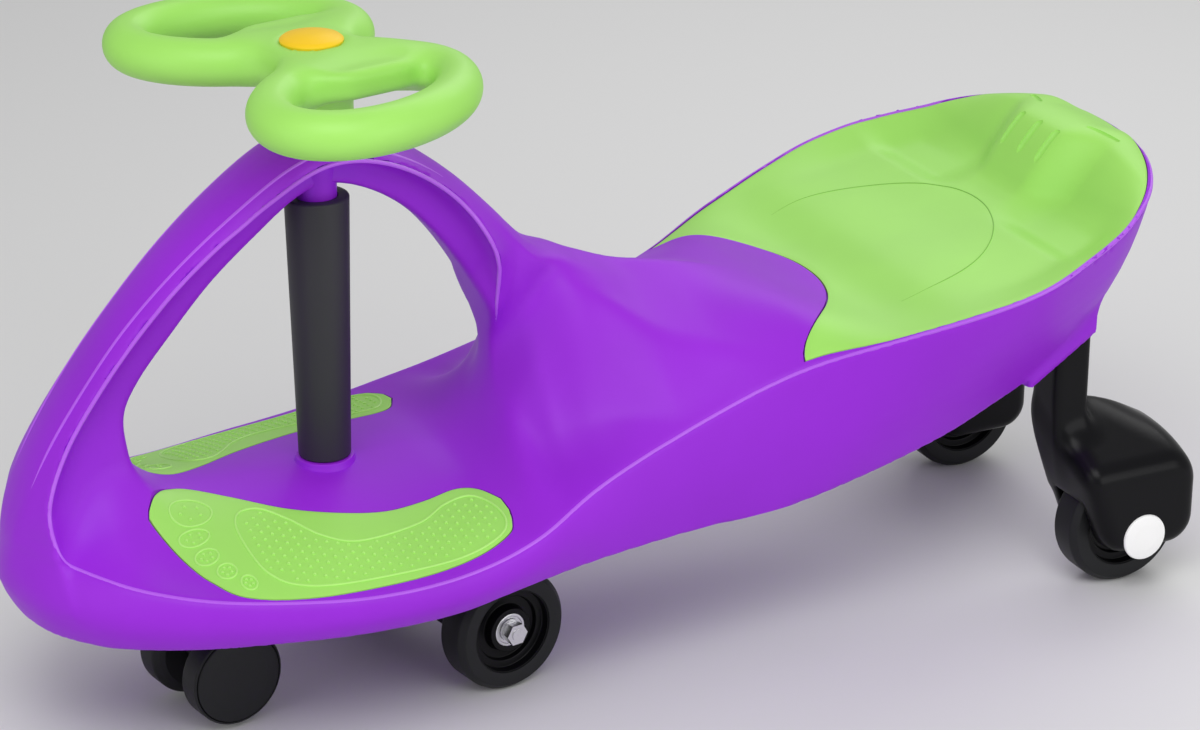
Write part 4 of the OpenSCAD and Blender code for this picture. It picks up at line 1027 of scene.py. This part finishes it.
# Column and its fittings, all turned about the steering axis
COLUMN_FOOT, COLUMN_TOP = DECK_Z + 36, ARCH_Z - 40
NECK_FOOT, NECK_TOP = COLUMN_TOP - 9, COLUMN_TOP + 30
RING_FOOT, RING_TOP = DECK_Z + 22, DECK_Z + 35.4
BOSS_FOOT, BOSS_TOP = 110, DECK_Z + 25
ON_AXIS = (0, 0, 0)


def make_column():
    outline = [(14, COLUMN_FOOT, 0.5), (16.4, COLUMN_FOOT, 1), (20, COLUMN_TOP, 1.5), (13, COLUMN_TOP, 0.5)]
    turned("column", outline, ON_AXIS, COLUMN, "chassis", "column_plastic", "column_tube")
    neck = [(9, NECK_FOOT, 0.5), (12.5, NECK_FOOT, 0.5), (12.6, NECK_TOP, 0.5), (9, NECK_TOP, 0.5)]
    ring = [(9, RING_FOOT, 0.5), (23, RING_FOOT, 0.5), (18.6, DECK_Z + 33.5, 1.5),
            (18.2, RING_TOP, 0.8), (9, RING_TOP, 0.5)]
    boss = [(11.2, BOSS_FOOT, 0.5), (22, BOSS_FOOT, 1), (22.5, BOSS_TOP, 0.5), (11.2, BOSS_TOP, 0.5)]
    for name, outline in (("neck", neck), ("ring", ring), ("boss", boss)):
        turned("column_" + name, outline, ON_AXIS, PURPLE, "chassis", "purple_plastic")


# Steering wheel: two loops that run together round the hub
LOOP_A, LOOP_B = 68.6, 46.7
LOOP_PLACE = (8, 71.5, ARCH_Z + 42)
LOOP_SPLAY = math.radians(24)
LOOP_R = 14.5
HUB_FOOT, HUB_TOP, HUB_R = ARCH_Z + 0.8, ARCH_Z + 57, 24
CAP_R = 19.5

# Web between loops and hub: its half length, which grows outward, then its place and section
WEB_X, WEB_HALF, WEB_GAIN, WEB_GAIN_Y = 4, 5, 0.16, 60
WEB_Y, WEB_R, WEB_UP, WEB_T, WEB_ROUND = 34, 26, 3.5, 9, 6


def rounded_disc(radial, height, r):
    """Field of a slab with a round edge: outside distance in plan and from its middle plane."""
    a, b = np.maximum(radial + r, 0), np.maximum(height + r, 0)
    return np.sqrt(a * a + b * b) + np.minimum(np.maximum(radial, height) + r, 0) - r


def wheel_field(x, y, z):
    side = np.abs(y)
    dx, dy = x - LOOP_PLACE[0], side - LOOP_PLACE[1]
    c, s = math.cos(LOOP_SPLAY), math.sin(LOOP_SPLAY)
    u, v = (dx * c + dy * s) / LOOP_A, (dy * c - dx * s) / LOOP_B
    f = np.sqrt(u * u + v * v) + 1e-6
    off = f * (f - 1) / np.sqrt((u / LOOP_A) ** 2 + (v / LOOP_B) ** 2 + 1e-9)
    up = z - LOOP_PLACE[2]
    loops = np.sqrt(off * off + up * up) - LOOP_R
    wide = WEB_HALF + WEB_GAIN * np.minimum(side, WEB_GAIN_Y)
    reach = np.sqrt(np.maximum(np.abs(x + wide - WEB_X) - wide, 0) ** 2 + np.maximum(side - WEB_Y, 0) ** 2)
    web = rounded_disc(reach - WEB_R, np.abs(up - WEB_UP) - WEB_T, WEB_ROUND)
    radius = np.sqrt(x * x + y * y)
    hub = rounded_disc(radius - HUB_R, np.abs(z - (HUB_FOOT + HUB_TOP) / 2) - (HUB_TOP - HUB_FOOT) / 2, 2)
    whole = smooth_min(smooth_min(loops, web, 16), hub, 10)
    whole = smooth_max(whole, z - HUB_TOP - 1, 3)
    seat = np.maximum(radius - CAP_R - 0.5, HUB_TOP - 0.4 - z)
    return smooth_max(whole, -seat, 0.8)


def make_wheel():
    points, quads = surface_net(wheel_field, (-90, -142, ARCH_Z - 4), (92, 142, ARCH_Z + 64), 2.6)
    points = settle(wheel_field, points, 3)
    wheel = new_object("wheel_loops", steered(points), quads, GREEN, "steering", "green_plastic",
                       "steering_wheel")
    smooth_edges(wheel, 50)
    dome = [(CAP_R - (CAP_R - 3) * t, HUB_TOP + 2.6 + 3.2 * math.sin(t * math.pi / 2), 0)
            for t in np.linspace(0.12, 1, 12)]
    cap = [(0, HUB_TOP - 2, 0), (CAP_R - 1, HUB_TOP - 2, 0.3), (CAP_R, HUB_TOP + 1.6, 0.8)] + dome
    cap.append((0, HUB_TOP + 5.8, 0))
    turned("wheel_dome", cap, ON_AXIS, YELLOW, "steering", "yellow_plastic", "wheel_cap", steer=True)


# Wheels: outlines from the inner face at height 0 to the outer face
WHEEL_T, WHEEL_SIDES = 27, 96
BEARING_R, BEARING_T, BEARING_LOW = 11, 7, (1.5, 16)
AXLE_R = 4
TYRE_SHARE = 0.7


def tyre_corners(r):
    i = TYRE_SHARE * r
    return [(i, 0.8, 0.4), (r - 3.5, 0, 1.5), (r, 4.5, 3.5), (r, WHEEL_T - 4.5, 3.5),
            (r - 3.5, WHEEL_T, 1.5), (i, WHEEL_T - 0.8, 0.4)]


def core_corners(r):
    i = TYRE_SHARE * r - 0.05
    b = BEARING_R + 0.1
    out = [(b, 23.4, 0.3), (14.6, 23.4, 0.8), (15.4, 16.5, 0.8), (i - 6.5, 16.5, 0.8), (i - 6, 20, 0.8),
           (i - 1.2, 20, 0.8), (i - 0.8, WHEEL_T - 1.6, 0.3), (i, WHEEL_T - 1.6, 0)]
    back = [(i, 1.6, 0), (i - 0.8, 1.6, 0.3), (i - 1.2, 7, 0.8), (i - 6, 7, 0.8), (i - 6.5, 10.5, 0.8),
            (15.4, 10.5, 0.8), (14.6, 1.2, 0.8), (b, 1.2, 0.3)]
    return out + back


def bearing_corners(low):
    a, b = low, low + BEARING_T
    return [(AXLE_R + 0.1, a, 0.3), (6.2, a, 0.3), (6.5, a + 0.6, 0), (9, a + 0.6, 0), (9.3, a, 0.3),
            (BEARING_R, a, 0.4), (BEARING_R, b, 0.4), (9.3, b, 0.3), (9, b - 0.6, 0), (6.5, b - 0.6, 0),
            (6.2, b, 0.3), (AXLE_R + 0.1, b, 0.3)]


def road_wheel(name, r, place, mirror, steer):
    turns = {"lying": True, "mirror": mirror, "steer": steer}
    body = name + "_wheel"
    turned(name + "_tread", tyre_corners(r), place, RUBBER, body, "tyre_rubber", name + "_tyre",
           sides=WHEEL_SIDES, **turns)
    turned(name + "_centre", core_corners(r), place, BLACK, body, "black_plastic", name + "_core",
           sides=WHEEL_SIDES, **turns)
    rings = []
    for low in BEARING_LOW:
        points, faces = lathe(rounded(bearing_corners(low), 2), 64)
        rings.append((placed(points, place, **turns), faces))
    tidy(new_object(name + "_races", *join_parts(rings), STEEL, body, "steel", name + "_bearings"))


MAIN_R, MAIN_X, MAIN_Y = 40, -79, 91
REAR_R, REAR_X, REAR_Y = 42, 42 - TAIL, 116
CASTER_R, CASTER_X, CASTER_Z, CASTER_IN = 31, 88, 35, 14


def make_wheels():
    for side, mirror in (("left", False), ("right", True)):
        road_wheel(side + "_main", MAIN_R, (MAIN_X, MAIN_Y - WHEEL_T, MAIN_R), mirror, True)
        road_wheel(side + "_rear", REAR_R, (REAR_X, REAR_Y - WHEEL_T, REAR_R), mirror, False)
        place, r, body = (CASTER_X, CASTER_IN, CASTER_Z), CASTER_R, "caster_wheel_" + side
        turns = {"sides": WHEEL_SIDES, "lying": True, "mirror": mirror, "steer": True}
        rim = [(3.3, 0, 0.2), (24, 0, 1), (27, 1.5, 1), (r, 4.5, 3), (r, 19.6, 1.2), (r - 1.5, 20.8, 0.4),
               (r - 1.7, 18.5, 0.2), (3.3, 18.5, 0.2)]
        turned(side + "_caster_rim", rim, place, RUBBER, body, "black_plastic", side + "_caster_wheel",
               **turns)
        disc = [(0, 18.7, 0), (r - 2.1, 18.7, 0.2), (r - 2.1, 20.9, 1.3), (20, 22.6, 3), (10, 23.4, 3),
                (0, 23.6, 0)]
        turned(side + "_caster_face", disc, place, RUBBER, body, "black_plastic", side + "_caster_disc",
               **turns)


# Rear brackets: a wheel hood under a square post
HOOD_X, HOOD_HALF, HOOD_IN, HOOD_OUT, HOOD_LOW = -521, 45, 71, 137, 31
HOOD_R = 19
POST_HALF, POST_ROUND = (13, 15), 4
POST_FOOT, POST_TOP = 60, SKIRT_Z + 136
WELL_R, WELL_IN, WELL_OUT = REAR_R + 2.5, 86, 119.5


# Planes of the hood: a roof that falls outward, a back that falls to the rear and a leaning front
ROOF_Z, ROOF_FALL = 112, 0.55
BACK_Z, BACK_FALL, BACK_NORM = 135, 0.54, 1.136
FRONT_Z, FRONT_ALONG, FRONT_UP = 95, 0.938, 0.346


def bracket_field(x, y, z):
    roof = ROOF_Z - ROOF_FALL * (y - SOCKET_Y - POST_HALF[1])
    middle, half = (roof + HOOD_LOW) / 2, (roof - HOOD_LOW) / 2
    a = np.maximum(np.abs(x - HOOD_X) - HOOD_HALF + HOOD_R, 0)
    b = np.maximum(np.abs(z - middle) - half + HOOD_R, 0)
    hood = np.sqrt(a * a + b * b) - HOOD_R
    back = (z - BACK_Z + BACK_FALL * (SOCKET_X - POST_HALF[0] - x)) / BACK_NORM
    front = (x - HOOD_X - HOOD_HALF) * FRONT_ALONG - (z - FRONT_Z) * FRONT_UP
    hood = smooth_max(hood, back, 12)
    hood = smooth_max(hood, np.abs(y - (HOOD_IN + HOOD_OUT) / 2) - (HOOD_OUT - HOOD_IN) / 2, 10)
    px, py = np.abs(x - SOCKET_X) - POST_HALF[0], np.abs(y - SOCKET_Y) - POST_HALF[1]
    post = rounded_disc(px, py, POST_ROUND)
    post = smooth_max(smooth_max(post, z - POST_TOP, 2), POST_FOOT - z, 2)
    whole = smooth_max(smooth_min(hood, post, 16), front, 14)
    across = np.abs(y - (WELL_IN + WELL_OUT) / 2) - (WELL_OUT - WELL_IN) / 2
    bowl = np.sqrt((x - REAR_X) ** 2 + (z - REAR_R) ** 2) - WELL_R
    slot = np.maximum(np.abs(x - REAR_X) - WELL_R, z - REAR_R)
    return smooth_max(whole, -np.maximum(np.minimum(bowl, slot), across), 1.5)


def make_brackets():
    points, quads = surface_net(bracket_field, (-574, 64, 24), (-464, 144, POST_TOP + 6), 2.4)
    points = settle(bracket_field, points, 3)
    cap = [(0, -2, 0), (14.5, -2, 0.3), (16, 0.2, 0.3), (15.6, 1.6, 0.8), (9, 2.3, 2), (0, 2.4, 0)]
    for side, sign in (("left", 1), ("right", -1)):
        bracket = new_object(side + "_hood", *on_side(points, quads, sign), BLACK, "chassis",
                             "black_plastic", side + "_rear_bracket")
        smooth_edges(bracket, 50)
        turned(side + "_hub_cap", cap, (REAR_X, HOOD_OUT, REAR_R), WHITE, "chassis", "white_plastic",
               side + "_axle_cap", lying=True, mirror=sign < 0)


make_body()
make_lines()
make_seat()
make_pads()
make_column()
make_wheel()
make_wheels()
make_brackets()


# Studio
def area_light(name, place, aim, size, power):
    lamp = bpy.data.lights.new(name, "AREA")
    lamp.shape = "RECTANGLE"
    lamp.size, lamp.size_y = size
    lamp.energy = power
    light = add_object(name, lamp)
    light.location = place
    light.rotation_euler = (Vector(aim) - Vector(place)).to_track_quat("-Z", "Y").to_euler()


def make_floor():
    half = 6
    mesh = bpy.data.meshes.new("floor")
    corners = [(-half, -half, 0), (half, -half, 0), (half, half, 0), (-half, half, 0)]
    mesh.from_pydata(corners, [], [(0, 1, 2, 3)])
    grey = {"Base Color": (0.78, 0.78, 0.78, 1), "Roughness": 0.7}
    mesh.materials.append(new_material("pale_floor", grey)[0])
    floor = add_object("floor", mesh)


def make_world():
    world = bpy.data.worlds.new("studio")
    bpy.context.scene.world = world
    world.use_nodes = True
    fill(world.node_tree.nodes["Background"], {"Color": (1, 1, 1, 1), "Strength": 0.42})


# Camera: turned 26 degrees from the left side towards the front, 23 degrees up
CAMERA_TURN = math.radians(26)
CAMERA_RISE = math.radians(23)
CAMERA_FAR = 2312
CAMERA_AIM = (-190.8, 0, 175.5)


def make_camera():
    camera = bpy.data.cameras.new("camera")
    camera.lens = 108
    camera.sensor_width = 36
    eye = add_object("camera", camera)
    away = Vector((math.cos(CAMERA_RISE) * math.sin(CAMERA_TURN),
                   math.cos(CAMERA_RISE) * math.cos(CAMERA_TURN), math.sin(CAMERA_RISE)))
    eye.location = Vector(to_part(CAMERA_AIM)) + away * CAMERA_FAR * MM
    eye.rotation_euler = (-away).to_track_quat("-Z", "Y").to_euler()
    bpy.context.scene.camera = eye


make_floor()
make_world()
make_camera()
area_light("key", (0.6, 1.2, 1.9), (0, 0, 0.2), (1.6, 1.2), 21)
area_light("side", (-0.8, 1.8, 0.7), (-0.1, 0, 0.2), (1.6, 1.0), 9)
area_light("fill", (1.8, 0.6, 0.7), (0, 0, 0.2), (1.2, 1.0), 4)
area_light("back", (-1.2, -1.0, 1.5), (0, 0, 0.2), (1.6, 1.0), 10)
bpy.context.scene.view_settings.view_transform = "Standard"
